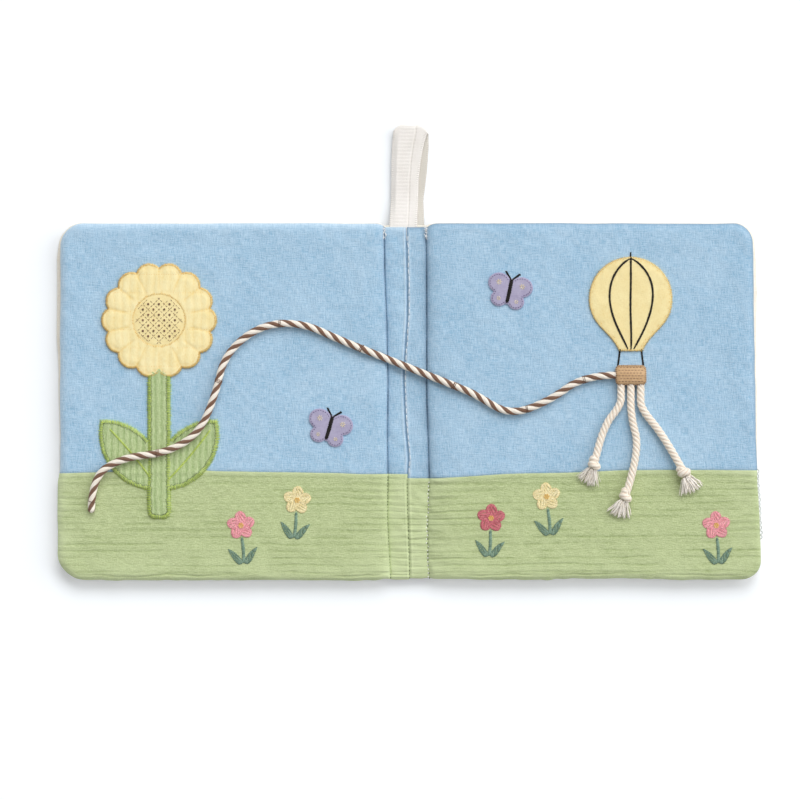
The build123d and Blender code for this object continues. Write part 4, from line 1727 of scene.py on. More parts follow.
def satin_line(
    line: np.ndarray,
    width: float,
    height: Field,
    seed: int,
    pitch: float = 0.42,
    slant: float = 0.55,
) -> np.ndarray:
    """Short dense stitches across a line, which read as one thick line with rough sides.

    Args:
        line: Plan points of the line.
        width: Width at its middle. Both ends are narrower.
        height: Height of the cloth.
        seed: Seed of the stitches' uneven lengths.
        pitch: Step from stitch to stitch.
        slant: How far a stitch's two ends lie apart along the line.

    Returns:
        Five points for each stitch.
    """
    points = resample(line, pitch, closed=False)
    normal = normals_2d(points, closed=False)
    along = np.stack([normal[:, 1], -normal[:, 0]], -1)
    run = np.linspace(0, 1, len(points))
    wide = np.interp(run, [0, 0.08, 0.92, 1], [0.5, 1, 1, 0.5]) * width / 2
    wide = (wide * np.random.default_rng(seed).uniform(0.82, 1.18, len(points)))[:, None]
    shift = along * slant / 2
    return stitches(points + normal * wide - shift, points - normal * wide + shift, height, 0.2)


def filled(
    outline: np.ndarray,
    angle: float,
    height: Field,
    seed: int,
    spacing: float = 0.42,
    stitch: float = 2.6,
) -> np.ndarray:
    """Rows of stitches that fill a shape, set off from row to row like laid bricks.

    Args:
        outline: Plan points of the shape.
        angle: Direction of the rows in degrees.
        height: Height of the cloth.
        seed: Seed of the uneven ends.
        spacing: Space between rows.
        stitch: Length of the stitches inside a row.

    Returns:
        Five points for each stitch.
    """
    c, s = math.cos(math.radians(angle)), math.sin(math.radians(angle))
    turn = np.array([[c, s], [-s, c]])
    line = outline @ turn.T
    rng = np.random.default_rng(seed)
    x0, y0 = line.T
    x1, y1 = np.roll(line, -1, axis=0).T
    first, last = [], []
    for row, y in enumerate(np.arange(y0.min() + spacing / 2, y0.max(), spacing)):
        hit = (y0 > y) != (y1 > y)
        crossings = np.sort(x0[hit] + (y - y0[hit]) * (x1[hit] - x0[hit]) / (y1[hit] - y0[hit]))
        for start, end in zip(crossings[::2], crossings[1::2]):
            start, end = start - rng.uniform(0, 0.3), end + rng.uniform(0, 0.3)
            cuts = np.arange(start + stitch * (0.5 + row % 3 / 3), end - 0.5, stitch)
            marks = np.concatenate([[start], cuts, [end]])
            first += [(x, y) for x in marks[:-1]]
            last += [(x, y) for x in marks[1:]]
    return stitches(np.array(first) @ turn, np.array(last) @ turn, height, 0.2, 0.25)


def whipped(
    patch: SewnPatch, step: float, inward: float, outward: float, seed: int, slant: float = 0.3
) -> np.ndarray:
    """Stitches over a patch's cut edge, from inside the edge to the page beyond it.

    Args:
        patch: The patch.
        step: Space from stitch to stitch.
        inward: How far inside the edge a stitch starts.
        outward: How far outside the edge it ends.
        seed: Seed of the uneven ends.
        slant: How far a stitch leans along the edge.

    Returns:
        Seven points for each stitch.
    """
    line = resample(patch.outline, step)
    area = line[:, 0] * np.roll(line[:, 1], -1) - np.roll(line[:, 0], -1) * line[:, 1]
    normal = normals_2d(line) * np.sign(area.sum())
    along = np.stack([normal[:, 1], -normal[:, 0]], -1)
    rng = np.random.default_rng(seed)
    count = len(line)
    start = line + normal * (inward * rng.uniform(0.8, 1.2, count))[:, None]
    end = line - normal * (outward * rng.uniform(0.6, 1.3, count))[:, None]
    end = end + along * (slant + rng.normal(0, 0.12, count))[:, None]
    share = np.array([0, 0.12, 0.4, inward / (inward + outward), 0.8, 0.92, 1.0])
    plan = start[:, None] * (1 - share[:, None]) + end[:, None] * share[:, None]
    high = patch.top(start[:, 0], start[:, 1])
    low = patch.ground(end[:, 0], end[:, 1])
    brim = patch.top(line[:, 0] + normal[:, 0] * 0.3, line[:, 1] + normal[:, 1] * 0.3)
    z = np.stack(
        [high - 0.35, high + 0.12, high + 0.2, brim + 0.12, low + 0.3, low + 0.08, low - 0.3], -1
    )
    return np.concatenate([plan, z[..., None]], -1)


def knots(centres: np.ndarray, height: Field, radius: float = 0.5) -> np.ndarray:
    """Small wound knots of thread at the given plan points."""
    angle = np.linspace(0, 4 * math.pi, 15)
    size = radius * (1 - 0.35 * angle / angle[-1])
    plan = centres[:, None] + np.stack([np.cos(angle), np.sin(angle)], -1) * size[:, None]
    z = height(centres[:, 0], centres[:, 1])[:, None] + 0.1 + 0.5 * angle / angle[-1]
    return np.concatenate([plan, z[..., None]], -1)


def threads_piece(
    name: str, finish: Cloth, body: str, radius: float, *groups: np.ndarray, sides: int = 5
) -> None:
    """Make one piece of several groups of stitches.

    Args:
        name: The piece's name.
        finish: The thread.
        body: The body it moves with.
        radius: Radius of the thread.
        *groups: Paths of the stitches.
        sides: Count of sides of a thread.
    """
    skins = [threads(group, radius, sides, tint) for tint, group in enumerate(groups) if len(group)]
    piece = Skin.joined(skins).piece(name, finish)
    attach(piece, body)


def circle(x: float, y: float, radius: float, count: int = 96) -> np.ndarray:
    """Outline of a circle."""
    angle = np.arange(count) * 2 * math.pi / count
    return arc(x, y, radius, angle)


def turned(points: np.ndarray, degrees: float, centre: Sequence[float]) -> np.ndarray:
    """Turn plan points given about the origin and move them to a centre."""
    c, s = math.cos(math.radians(degrees)), math.sin(math.radians(degrees))
    return points @ np.array([[c, s], [-s, c]]) + np.asarray(centre, float)


# Motifs


@dataclass
class Balloon:
    """A felt balloon with black gore lines, over a felt basket that holds the ropes."""

    x: float = 124.0
    y: float = 58.0
    radius: float = 23.0
    waist: float = -9.0
    low: float = -29.0
    mouth: float = 6.5

    def outline(self) -> np.ndarray:
        """The crown's circle drawn in to the narrow mouth."""
        reach = math.sqrt(self.radius**2 - self.waist**2)
        dip = math.asin(-self.waist / self.radius)
        angle = np.linspace(-dip, math.pi + dip, 110)
        crown = arc(0, 0, self.radius, angle)
        t = np.linspace(0, 1, 30)[1:, None]
        start, end = np.array([-reach, self.waist]), np.array([-self.mouth, self.low])
        span = np.linalg.norm(end - start)
        out = np.array([-self.waist, -reach]) / self.radius * span
        into = np.array([1.0, -3.0]) / math.sqrt(10) * span
        out[0] = abs(out[0])
        side = (
            start * (2 * t**3 - 3 * t**2 + 1) + out * (t**3 - 2 * t**2 + t)
            + end * (3 * t**2 - 2 * t**3) + into * (t**3 - t**2)
        )
        other = side[::-1] * (-1, 1)
        return np.concatenate([crown, side, other[:-1]]) + (self.x, self.y)

    def stitched_edge(self, x: np.ndarray, y: np.ndarray, distance: np.ndarray) -> tuple:
        """Press a row of stitching in along the edge, with painted shade in its groove and on the cut edge
        and a paler rim between them.
        """
        groove = bell(distance - 1.5, 0.35)
        puff = 0.25 * shoulder(distance, 14, 2)
        return puff - 0.28 * groove, 0.8 * groove + (1 - ease(distance, 0, 0.35))

    def basket_dome(self, x: np.ndarray, y: np.ndarray, distance: np.ndarray) -> tuple:
        """Lift the basket's felt over the ends of the ropes and the cord under it."""
        full = 1 - ease(y, 15.5, 21.0) * 0.75
        lift = 4.1 * full * (0.72 + 0.28 * shoulder(distance, 2.6, 2))
        band = bell(distance - 1.3, 0.3)
        # painted shade along the pressed stitch line
        return lift - 0.2 * band, 0.6 * band

    def build(self) -> None:
        """Make the balloon, the basket and their stitches."""
        body = Side.RIGHT.body
        balloon = SewnPatch(self.outline(), 1.2, BOOK.top, relief=self.stitched_edge)
        balloon.sew("balloon_felt", YELLOW_FELT, "yellow_felt", "balloon", body)
        t = np.linspace(0, 1, 60)
        gores = []
        for hand, bow in ((-1, 11.0), (0, 0.35), (1, 11.6)):
            x = self.x + hand * bow * np.sin(math.pi * t**0.72)
            x = x + (hand * 2.0 + 0.3 * np.sin(t * 9 + hand)) * t
            gores.append(np.stack([x, self.y + 22.2 - 50.0 * t], -1))
        gores[1][:, 1] = self.y + 25.6 - 53.6 * t
        high = over_patch(balloon)
        lines = [satin_line(g, 1.2, high, n, pitch=0.5, slant=0.6) for n, g in enumerate(gores)]
        tie = ((6.0, 29.6), (6.5, 25), (7.1, 20.4))
        ties = [np.array([(self.x + hand * out, y) for out, y in tie]) for hand in (-1, 1)]
        lines += [satin_line(tie, 1.0, high, 10 + n) for n, tie in enumerate(ties)]
        threads_piece("balloon_black_lines", BLACK_THREAD, body, 0.24, *lines)
        inset = resample(balloon.outline, 0.5)
        inset = inset + normals_2d(inset) * 1.5
        seam = running(np.vstack([inset, inset[:1]]), balloon.top, 1.6, 0.5, 0.02)
        threads_piece("balloon_topstitch", GOLD_THREAD, body, 0.15, seam)
        threads_piece(
            "balloon_edge", GOLD_THREAD, body, 0.14, whipped(balloon, 0.95, 0.8, 0.55, 9, 0.35)
        )

        corner, wide, high_y, low_y = 2.5, 8.5, 21.0, 10.0
        box = []
        for cx, cy, first in ((1, 1, 0), (-1, 1, 90), (-1, -1, 180), (1, -1, 270)):
            angle = np.radians(np.linspace(first, first + 90, 12))
            y = (high_y if cy > 0 else low_y) - cy * corner
            box.append(arc(self.x + cx * (wide - corner), y, corner, angle))
        basket = SewnPatch(np.concatenate(box), 1.2, BOOK.top, spacing=0.6, relief=self.basket_dome)
        basket.sew("basket_felt", TAN_FELT, "tan_felt", "balloon_basket", body)
        rows = []
        for row, y in enumerate(np.arange(12.0, 20.2, 1.55)):
            line = np.stack(
                [np.linspace(self.x - 7 + row % 2 * 0.9, self.x + 7, 30), np.full(30, y)], -1
            )
            rows.append(running(line, basket.top, 1.25, 0.55, 0.12))
        threads_piece("basket_weave", BROWN_THREAD, body, 0.17, *rows)
        edge = whipped(basket, 1.15, 0.9, 0.25, 8, 0.2)
        threads_piece("basket_edge", BROWN_THREAD, body, 0.13, edge)


def over_patch(patch: SewnPatch) -> Field:
    """Height of a patch where it lies, and of the page beyond its edge."""

    def height(x: np.ndarray, y: np.ndarray) -> np.ndarray:
        points = np.stack([np.ravel(x), np.ravel(y)], -1)
        within = inside(points, patch.outline).reshape(np.shape(x))
        return np.where(within, patch.top(x, y), patch.ground(x, y))

    return height


@dataclass
class Flower:
    """A tall quilted flower with a felt seed head, a corduroy stem and two leaves."""

    x: float = -138.0
    y: float = 46.0
    reach: float = 32.0
    petals: int = 14
    seed_radius: float = 15.2
    wale: float = 3.5

    def petal_outline(self) -> np.ndarray:
        """Scalloped outline of the ring of petals."""
        size = self.reach * math.sin(math.pi / self.petals) * 1.05
        ring = self.reach - size
        angle = np.arange(420) * 2 * math.pi / 420
        step = 2 * math.pi / self.petals
        offset = (angle + step / 2) % step - step / 2
        r = ring * np.cos(offset) + np.sqrt(size**2 - (ring * np.sin(offset)) ** 2)
        return arc(self.x, self.y, r, angle)

    def quilting(self, x: np.ndarray, y: np.ndarray, distance: np.ndarray) -> tuple:
        """Channels up and down the cloth, rows of stitching across and a seam between petals."""
        dx, dy = x - self.x, y - self.y
        r = np.hypot(dx, dy)
        step = 2 * math.pi / self.petals
        notch = (np.arctan2(dy, dx) % step - step / 2) * r
        seam = bell(notch, 0.55) * ease(r, 16, 19)
        channel = np.abs(np.sin(math.pi * (x + 0.3 * np.sin(y / 3)) / 4.4)) ** 0.6
        row = bell((y + 5.0) % 10.2 - 5.1, 0.5)
        top = bell(distance - 2.2, 0.4)
        lift = 0.7 * shoulder(
            distance, 5, 2
        ) - 0.28 * (1 - channel) - 0.3 * seam - 0.14 * row - 0.2 * top
        lift = lift - 1.5 * (1 - ease(r, self.seed_radius - 2.0, self.seed_radius - 0.6))
        # Painted shade in the channels' valleys, the seams between petals, the stitched row by the edge
        # and the cut edge.
        tone = 0.55 * (1 - channel) ** 2 + 0.6 * seam + 0.35 * top + 0.5 * (
            1 - ease(distance, 0, 1.2)
        )
        return lift, np.clip(tone, 0, 1)

    def wales(self, x: np.ndarray, y: np.ndarray, distance: np.ndarray) -> tuple:
        """Wales that run up the cloth."""
        noise = BOOK.noises[Side.LEFT][4]
        ridge = np.abs(np.sin(math.pi * (x + 0.5 * noise(y / 17, x / 9)) / self.wale)) ** 0.7
        lift = 0.3 * (ridge - 0.8) + 0.3 * shoulder(distance, 3, 2)
        # grooves darkened with painted shade
        return lift * ease(distance, 0, 0.8), 1 - 0.85 * (1 - ridge)

    def leaf(self, lean: float) -> np.ndarray:
        """Outline of one leaf, leaning by so many degrees."""
        foot, tip, belly = np.array([0.0, 0.0]), np.array([0.0, 50.0]), np.array([12.5, 22.0])
        sides = []
        for hand in (1, -1):
            mark = belly * (hand, 1)
            a, b = 2 * (mark - foot), 2 * (tip - foot)
            right = np.array([mark @ mark, tip @ tip])
            centre = np.linalg.solve(np.array([a, b]), right)
            radius = np.linalg.norm(centre)
            start = math.atan2(*(foot - centre)[::-1])
            end = math.atan2(*(tip - centre)[::-1])
            sweep = (end - start + math.pi) % (2 * math.pi) - math.pi
            angle = start + np.linspace(0, 1, 60) * sweep
            sides.append(arc(*centre, radius, angle))
        shape = np.concatenate([sides[0][:-1], sides[1][::-1][:-1]])
        return turned(shape, lean, (self.x, -48.0))

    def build(self) -> None:
        """Make the flower's pieces and their stitches."""
        body = Side.LEFT.body
        leaves = {}
        for name, lean in (("outer", 40.0), ("inner", -40.0)):
            leaf = SewnPatch(self.leaf(lean), 0.95, BOOK.top, spacing=0.85, relief=self.wales)
            leaf.sew(
                f"leaf_{name}_corduroy", LEAF_CORDUROY, "leaf_corduroy", f"flower_leaf_{name}", body
            )
            leaves[name] = leaf
        r, w = 4.0, 6.0
        angle = np.radians(np.linspace(180, 270, 12))
        foot = arc(self.x - w + r, -64 + r, r, angle)
        mirrored = foot[::-1] * (-1, 1) + (2 * self.x, 0)
        top = np.array([[self.x + w, 20.0], [self.x - w, 20.0]])
        stem = SewnPatch(
            np.concatenate([foot, mirrored, top]), 1.3, BOOK.top, spacing=0.85, relief=self.wales
        )
        stem.sew("stem_corduroy", LEAF_CORDUROY, "leaf_corduroy", "flower_stem", body)
        petals = SewnPatch(self.petal_outline(), 1.25, BOOK.top, spacing=0.9, relief=self.quilting)
        petals.sew("petals_quilted", YELLOW_QUILT, "yellow_quilted_cotton", "flower_petals", body)
        seed = SewnPatch(circle(self.x, self.y, self.seed_radius), 1.75, BOOK.top)
        seed.sew("seed_head_felt", YELLOW_FELT, "yellow_felt", "flower_seed_head", body)

        lime, pricks = [], []
        for number, patch in enumerate((*leaves.values(), stem)):
            around = whipped(patch, 0.92, 1.7, 0.8, 30 + number, 0.35)
            middle = around[:, 3, :2]
            away = np.hypot(middle[:, 0] - self.x, middle[:, 1] - self.y) > self.reach - 1.0
            if patch is not stem:
                away &= ~inside(middle, stem.outline)
            lime.append(around[away])
            # short dark green stitches at the whip stitches' needle holes stand in for the holes' painted
            # shade
            holes = around[away][:, 0, :2] * 1.06 - around[away][:, 3, :2] * 0.06
            pricks.append(stitches(holes - (0.0, 0.2), holes + (0.0, 0.25), patch.top, 0.12, 0.1))
        veins = []
        for (name, leaf), lean in zip(leaves.items(), (40.0, -40.0)):
            t = np.linspace(0.16, 0.86, 40)
            spine = turned(np.stack([1.2 * np.sin(t * 3.1), 50 * t], -1), lean, (self.x, -48.0))
            veins.append(satin_line(spine, 1.1, leaf.top, 50, pitch=0.6, slant=0.8))
        threads_piece("leaf_whip_stitches", LIME_THREAD, body, 0.23, *lime, *veins)
        threads_piece("leaf_needle_pricks", GREEN_THREAD, body, 0.2, *pricks)
        hem = whipped(petals, 0.72, 1.15, 0.5, 40, 0.45)
        rows = []
        for y in np.arange(self.y - 25.6, self.y + 28, 10.2):
            for sign in (-1, 1):
                half = math.sqrt(max(29.0**2 - (y - self.y) ** 2, 0))
                inner = math.sqrt(max(16.6**2 - (y - self.y) ** 2, 0))
                xs = np.arange(inner, half, 1.35)
                if len(xs):
                    line = np.stack([self.x + sign * xs, np.full(len(xs), y)], -1)
                    rows.append(stitches(line - (0.25, 0), line + (0.25, 0), petals.top, 0.06, 0.1))
        threads_piece("petal_edge_stitches", GOLD_THREAD, body, 0.15, hem)
        threads_piece("petal_quilting_stitches", GOLD_THREAD, body, 0.12, *rows)
        lattice = []
        for angle in (45, 135):
            direction = np.array([math.cos(math.radians(angle)), math.sin(math.radians(angle))])
            across = np.array([-direction[1], direction[0]])
            for shift in np.arange(-12.6, 12.7, 4.2):
                half = math.sqrt(max(13.2**2 - shift**2, 0))
                ends = np.linspace(-half, half, 40)[:, None] * direction + across * shift
                lattice.append(running(ends + (self.x, self.y), seed.top, 1.5, 0.5, 0.16))
        threads_piece("seed_head_lattice", BROWN_THREAD, body, 0.13, *lattice)
        cells = []
        for i in range(-3, 3):
            for j in range(-3, 3):
                a, b = (i + 0.5) * 4.2, (j + 0.5) * 4.2
                if math.hypot(a, b) < 12.2:
                    cells.append(((a - b) / math.sqrt(2) + self.x, (a + b) / math.sqrt(2) + self.y))
        dots = knots(np.array(cells), seed.top)
        threads_piece("seed_head_knots", BROWN_THREAD, body, 0.22, dots)
        hem = whipped(seed, 0.9, 1.1, 0.6, 44, 0.3)
        threads_piece("seed_head_edge", GOLD_THREAD, body, 0.15, hem)


@dataclass
class Butterfly:
    """A small lilac felt butterfly with a black embroidered body."""

    side: Side
    x: float
    y: float
    lean: float

    def outline(self) -> np.ndarray:
        """Outline of body and wings, cut in one piece."""
        angle = np.arange(300) * 2 * math.pi / 300
        dx, dy = np.cos(angle), np.sin(angle)
        far = np.zeros(300)
        lobes = [(0, 0, 1.6, 7.5)]
        lobes += [(h * 6.3, 3.6, 6.2, 5.6) for h in (-1, 1)] + [
            (h * 4.8, -4.8, 4.6, 4.4) for h in (-1, 1)
        ]
        for cx, cy, rx, ry in lobes:
            a = (dx / rx) ** 2 + (dy / ry) ** 2
            b = (dx * cx / rx**2) + (dy * cy / ry**2)
            c = (cx / rx) ** 2 + (cy / ry) ** 2 - 1
            inner = b * b - a * c
            exit_at = (b + np.sqrt(np.clip(inner, 0, None))) / a
            far = np.maximum(far, np.where(inner > 0, exit_at, 0))
        return turned(np.stack([dx * far, dy * far], -1), self.lean, (self.x, self.y))

    def build(self) -> None:
        """Make the felt shape and its stitches."""
        body, word = self.side.body, self.side.word
        felt = SewnPatch(self.outline(), 1.15, BOOK.top, spacing=0.8)
        felt.sew(f"butterfly_{word}_felt", LILAC_FELT, "lilac_felt", f"butterfly_{word}", body)
        inset = resample(felt.outline, 0.4)
        inset = inset + normals_2d(inset) * 0.95
        dots = running(inset, felt.top, 0.55, 0.85, 0.14)
        threads_piece(f"butterfly_{word}_stitches", PURPLE_THREAD, body, 0.2, dots)
        place = (self.x, self.y)
        high = over_patch(felt)
        torso = turned(np.array([[0.0, -6.2], [0.1, 0.0], [0.0, 6.4]]), self.lean, place)
        lines = [satin_line(torso, 2.3, high, 3, pitch=0.4, slant=0.4)]
        t = np.linspace(0, 1, 24)
        for hand in (-1, 1):
            bow = 0.4 + 4.6 * t**1.2 + 0.9 * np.sin(t * 4.4) * t
            feeler = np.stack([hand * bow, 6.2 + 6.6 * t - 2.4 * t**3], -1)
            lines.append(satin_line(turned(feeler, self.lean, place), 1.15, high, 4 + hand))
        threads_piece(f"butterfly_{word}_body", BLACK_THREAD, body, 0.24, *lines)
        rays = []
        for hand in (-1, 1):
            for cx, cy, size, count in ((6.6, 4.0, 1.7, 7), (5.0, -4.9, 1.2, 6)):
                angle = np.arange(count) * 2 * math.pi / count + 0.3
                spokes = np.stack([np.cos(angle), np.sin(angle)], -1)
                middle = np.array([hand * cx, cy])
                rays.append(
                    stitches(
                        turned(middle + spokes * 0.35, self.lean, place),
                        turned(middle + spokes * size, self.lean, place), felt.top, 0.14,
                    )
                )
        threads_piece(f"butterfly_{word}_spots", BUTTER_THREAD, body, 0.17, *rays)


@dataclass
class Blossom:
    """A small embroidered flower of five petals with two leaves, worked straight on the page."""

    side: Side
    number: int
    x: float
    y: float
    petal: Thread
    lean: float = 0.0

    def build(self) -> None:
        """Embroider the petals, the middle, the stem and the leaves."""
        body = self.side.body
        place = (self.lean, (self.x, self.y))
        name = f"blossom_{self.side.word}_{self.number}"
        head = np.array([0.0, 8.0])
        petals, rims = [], []
        for n in range(5):
            angle = math.radians(90 + 72 * n)
            middle = head + 3.9 * np.array([math.cos(angle), math.sin(angle)])
            shape = circle(0, 0, 1.0, 40) * (3.9, 3.1)
            shape = turned(shape, 90 + 72 * n, middle)
            shape = turned(shape, *place)
            petals.append(
                filled(shape, 90 + 72 * n + self.lean, BOOK.top, self.number * 10 + n, 0.5, 2.9)
            )
            out = np.hypot(*(shape - turned(head[None], *place)).T) > 4.3
            rims.append(
                running(np.roll(shape, 10, axis=0)[np.roll(out, 10)], BOOK.top, 0.8, 0.25, 0.3)
            )
            # short darker-thread specks inside each petal stand in for the needle holes' painted shade
            specks = shape[4:40:6] * 0.62 + shape.mean(0) * 0.38
            rims.append(
                stitches(specks, specks + (0.28, 0.4), lambda x, y: BOOK.top(x, y) + 0.3, 0.14, 0.1)
            )
        threads_piece(name + "_petals", self.petal, body, 0.3, *petals)
        threads_piece(name + "_rim", self.petal.darker(), body, 0.17, *rims)
        centres = [(0.0, 0.0)] + [
            (1.1 * math.cos(a), 1.1 * math.sin(a)) for a in np.arange(6) * math.pi / 3
        ]
        centres = turned(np.array(centres) + head, *place)
        dots = knots(centres, lambda x, y: BOOK.top(x, y) + 0.1, 0.42)
        threads_piece(name + "_middle", GOLD_THREAD, body, 0.22, dots)
        t = np.linspace(0, 1, 20)
        stalk = np.stack([0.4 * np.sin(t * 3), 1.0 - 13.6 * t], -1)
        stalk = turned(stalk, *place)
        greens = [satin_line(stalk, 1.9, BOOK.top, 5)]
        edges = []
        for hand in (-1, 1):
            u = np.linspace(0, 1, 24)
            outer = np.stack([8.2 * u, -12.0 + 7.4 * u**1.5 - 2.9 * np.sin(math.pi * u**0.8)], -1)
            inner = np.stack([8.2 * u, -12.0 + 7.4 * u**1.5 + 2.3 * np.sin(math.pi * u)], -1)
            blade = np.concatenate([outer, inner[::-1][1:-1]]) * (hand, 1)
            blade = turned(blade, *place)
            greens.append(
                filled(blade, 90 + hand * -28 + self.lean, BOOK.top, 70 + hand, 0.46, 3.4)
            )
            edges.append(running(np.vstack([blade, blade[:1]]), BOOK.top, 0.9, 0.3, 0.3))
        threads_piece(name + "_leaves", TEAL_THREAD, body, 0.27, *greens)
        threads_piece(name + "_leaf_edges", TEAL_THREAD.darker(), body, 0.15, *edges)


# The loop and the seams


@dataclass
class HangingLoop:
    """A folded cotton tape sewn in at the head of the spine."""

    apex: float = 155.0
    rib: float = 0.78
    bead: float = 1.15
    step: float = 0.13
    columns: int = 41
    front: tuple = (
        (90, -10.4, 5.3), (99, -10.2, 5.4), (113, -9.3, 5.9), (124, -9.1, 6.2), (135, -9.0, 7.4),
        (143, -8.7, 8.9), (149, -8.3, 10.4), (153, -7.9, 11.1),
    )
    back: tuple = (
        (90, -6.0, 9.5), (99, -6.0, 9.4), (113, -6.3, 8.9), (128, -4.6, 10.8), (143, -4.4, 11.9),
        (153, -7.4, 11.7),
    )

    def line(self) -> np.ndarray:
        """Middle line of the tape, with half its width at each place.

        Returns:
            Points (x, y, z, half width) from the front's sewn end round to the back's.
        """
        front_y = np.linspace(90, self.apex - 1.4, 90)
        back_y = front_y[::-1]
        sides = []
        for table, y, low, high in (
            (self.front, front_y, 4.95, 3.1), (self.back, back_y, 4.2, 1.1)
        ):
            stations = np.array(table)
            left, right = (np.interp(y, stations[:, 0], stations[:, n]) for n in (1, 2))
            z = low + (high - low) * ease(y, 97.0, 118)
            sides.append(np.stack([(left + right) / 2, y, z, (right - left) / 2], -1))
        turn = np.linspace(0, math.pi, 16)[1:-1, None]
        share = (1 - np.cos(turn)) / 2
        top = sides[0][-1] * (1 - share) + sides[1][0] * share
        top = top + np.array([0, 1.3, 0, 0]) * np.sin(turn)
        return np.concatenate([sides[0], top, sides[1]])

    def build(self) -> None:
        """Make the tape with its ribs, its selvedges and its line of stitching."""
        middle = self.line()
        run = run_along(middle[:, :3])
        fine = np.arange(0, run[-1], self.step)
        middle = read_at(fine, run, middle)
        window = np.hanning(25)
        window /= window.sum()
        padded = np.pad(middle, ((12, 12), (0, 0)), mode="edge")
        middle = np.stack([np.convolve(padded[:, axis], window, "valid") for axis in range(4)], -1)
        middle, half = middle[:, :3], middle[:, 3]
        along = np.gradient(middle, axis=0)
        along[:, 0] = 0
        along /= np.linalg.norm(along, axis=1, keepdims=True)
        right = np.array([1.0, 0.0, 0.0])
        out = np.cross(np.broadcast_to(right, along.shape), along)
        share = np.linspace(-1, 1, self.columns)
        rib = np.abs(np.sin(math.pi * fine / self.rib))[:, None]
        rib = rib * (0.35 + 0.65 * ease(0.62 - np.abs(share + 0.12), 0, 0.15))
        column = bell(share - 0.34, 0.04)
        beads = np.sin(2 * math.pi * fine / self.bead)[:, None]
        bead = bell(np.abs(share) - 0.95, 0.07) * (0.5 + 0.5 * beads)
        lift = 0.2 * rib - 0.4 * column + 0.34 * bead
        wave = 0.3 * np.sin(fine / 9)[:, None] * share
        near_top = np.clip((middle[:, 1:2] - self.apex + 11) / 11, 0, 1)
        round_top = np.where(share > 0, 4.8 * share**4, -3.2 * share**5) * near_top**2
        folded_in = ease(fine, fine[-1] / 2 - 1, fine[-1] / 2 + 3)
        edge_x = share * half[:, None] + 0.16 * beads * (np.abs(share) > 0.97) * share
        thick = 0.5 * np.sqrt(np.clip(1 - np.abs(share) ** 10, 0, 1)) + 0.05
        lies = ease(middle[:, 1], 100, 114) * (1 - ease(fine, fine[-1] / 2 - 12, fine[-1] / 2 - 3))
        droop = 1.4 * ease(-share, 0.6, 1.0) * lies[:, None]
        sheets, grids = [], []
        for sign in (1, -1):
            points = middle[:, None] + right * edge_x[..., None]
            points[..., 1] -= round_top
            points[..., 2] -= droop
            raised = lift if sign > 0 else 0.6 * lift
            points = points + out[:, None] * (sign * thick + raised * sign + wave)[..., None]
            lay = spread(rib.shape, edge_x, fine[:, None], sign * 5.0)
            # painted shade in the rib grooves and along the lengthwise stitch crease
            tone = np.clip(0.35 + 0.65 * rib - 0.9 * column, 0, 1)
            grids.append(points)
            # painted shade on the inside of the back layer, past the fold
            shade = np.repeat(folded_in * (0.9 if sign < 0 else 0.0), self.columns)
            faces = grid_faces(len(fine), self.columns, flip=sign > 0)
            sheets.append(
                Skin(points.reshape(-1, 3), faces, lay.reshape(-1, 3), tone.ravel(), shade)
            )
        # the selvedge strips carry painted shade
        for column_at, flip in ((0, False), (-1, True)):
            strip = np.stack([grids[0][:, column_at], grids[1][:, column_at]], 1)
            faces = grid_faces(len(fine), 2, flip=flip)
            sheets.append(Skin(strip.reshape(-1, 3), faces, None, np.full(len(fine) * 2, 0.6)))
        piece = Skin.joined(sheets).piece("hanging_loop_tape", CREAM_TAPE, "cream_tape")
        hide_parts("hanging_loop")
        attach(piece, "spine")


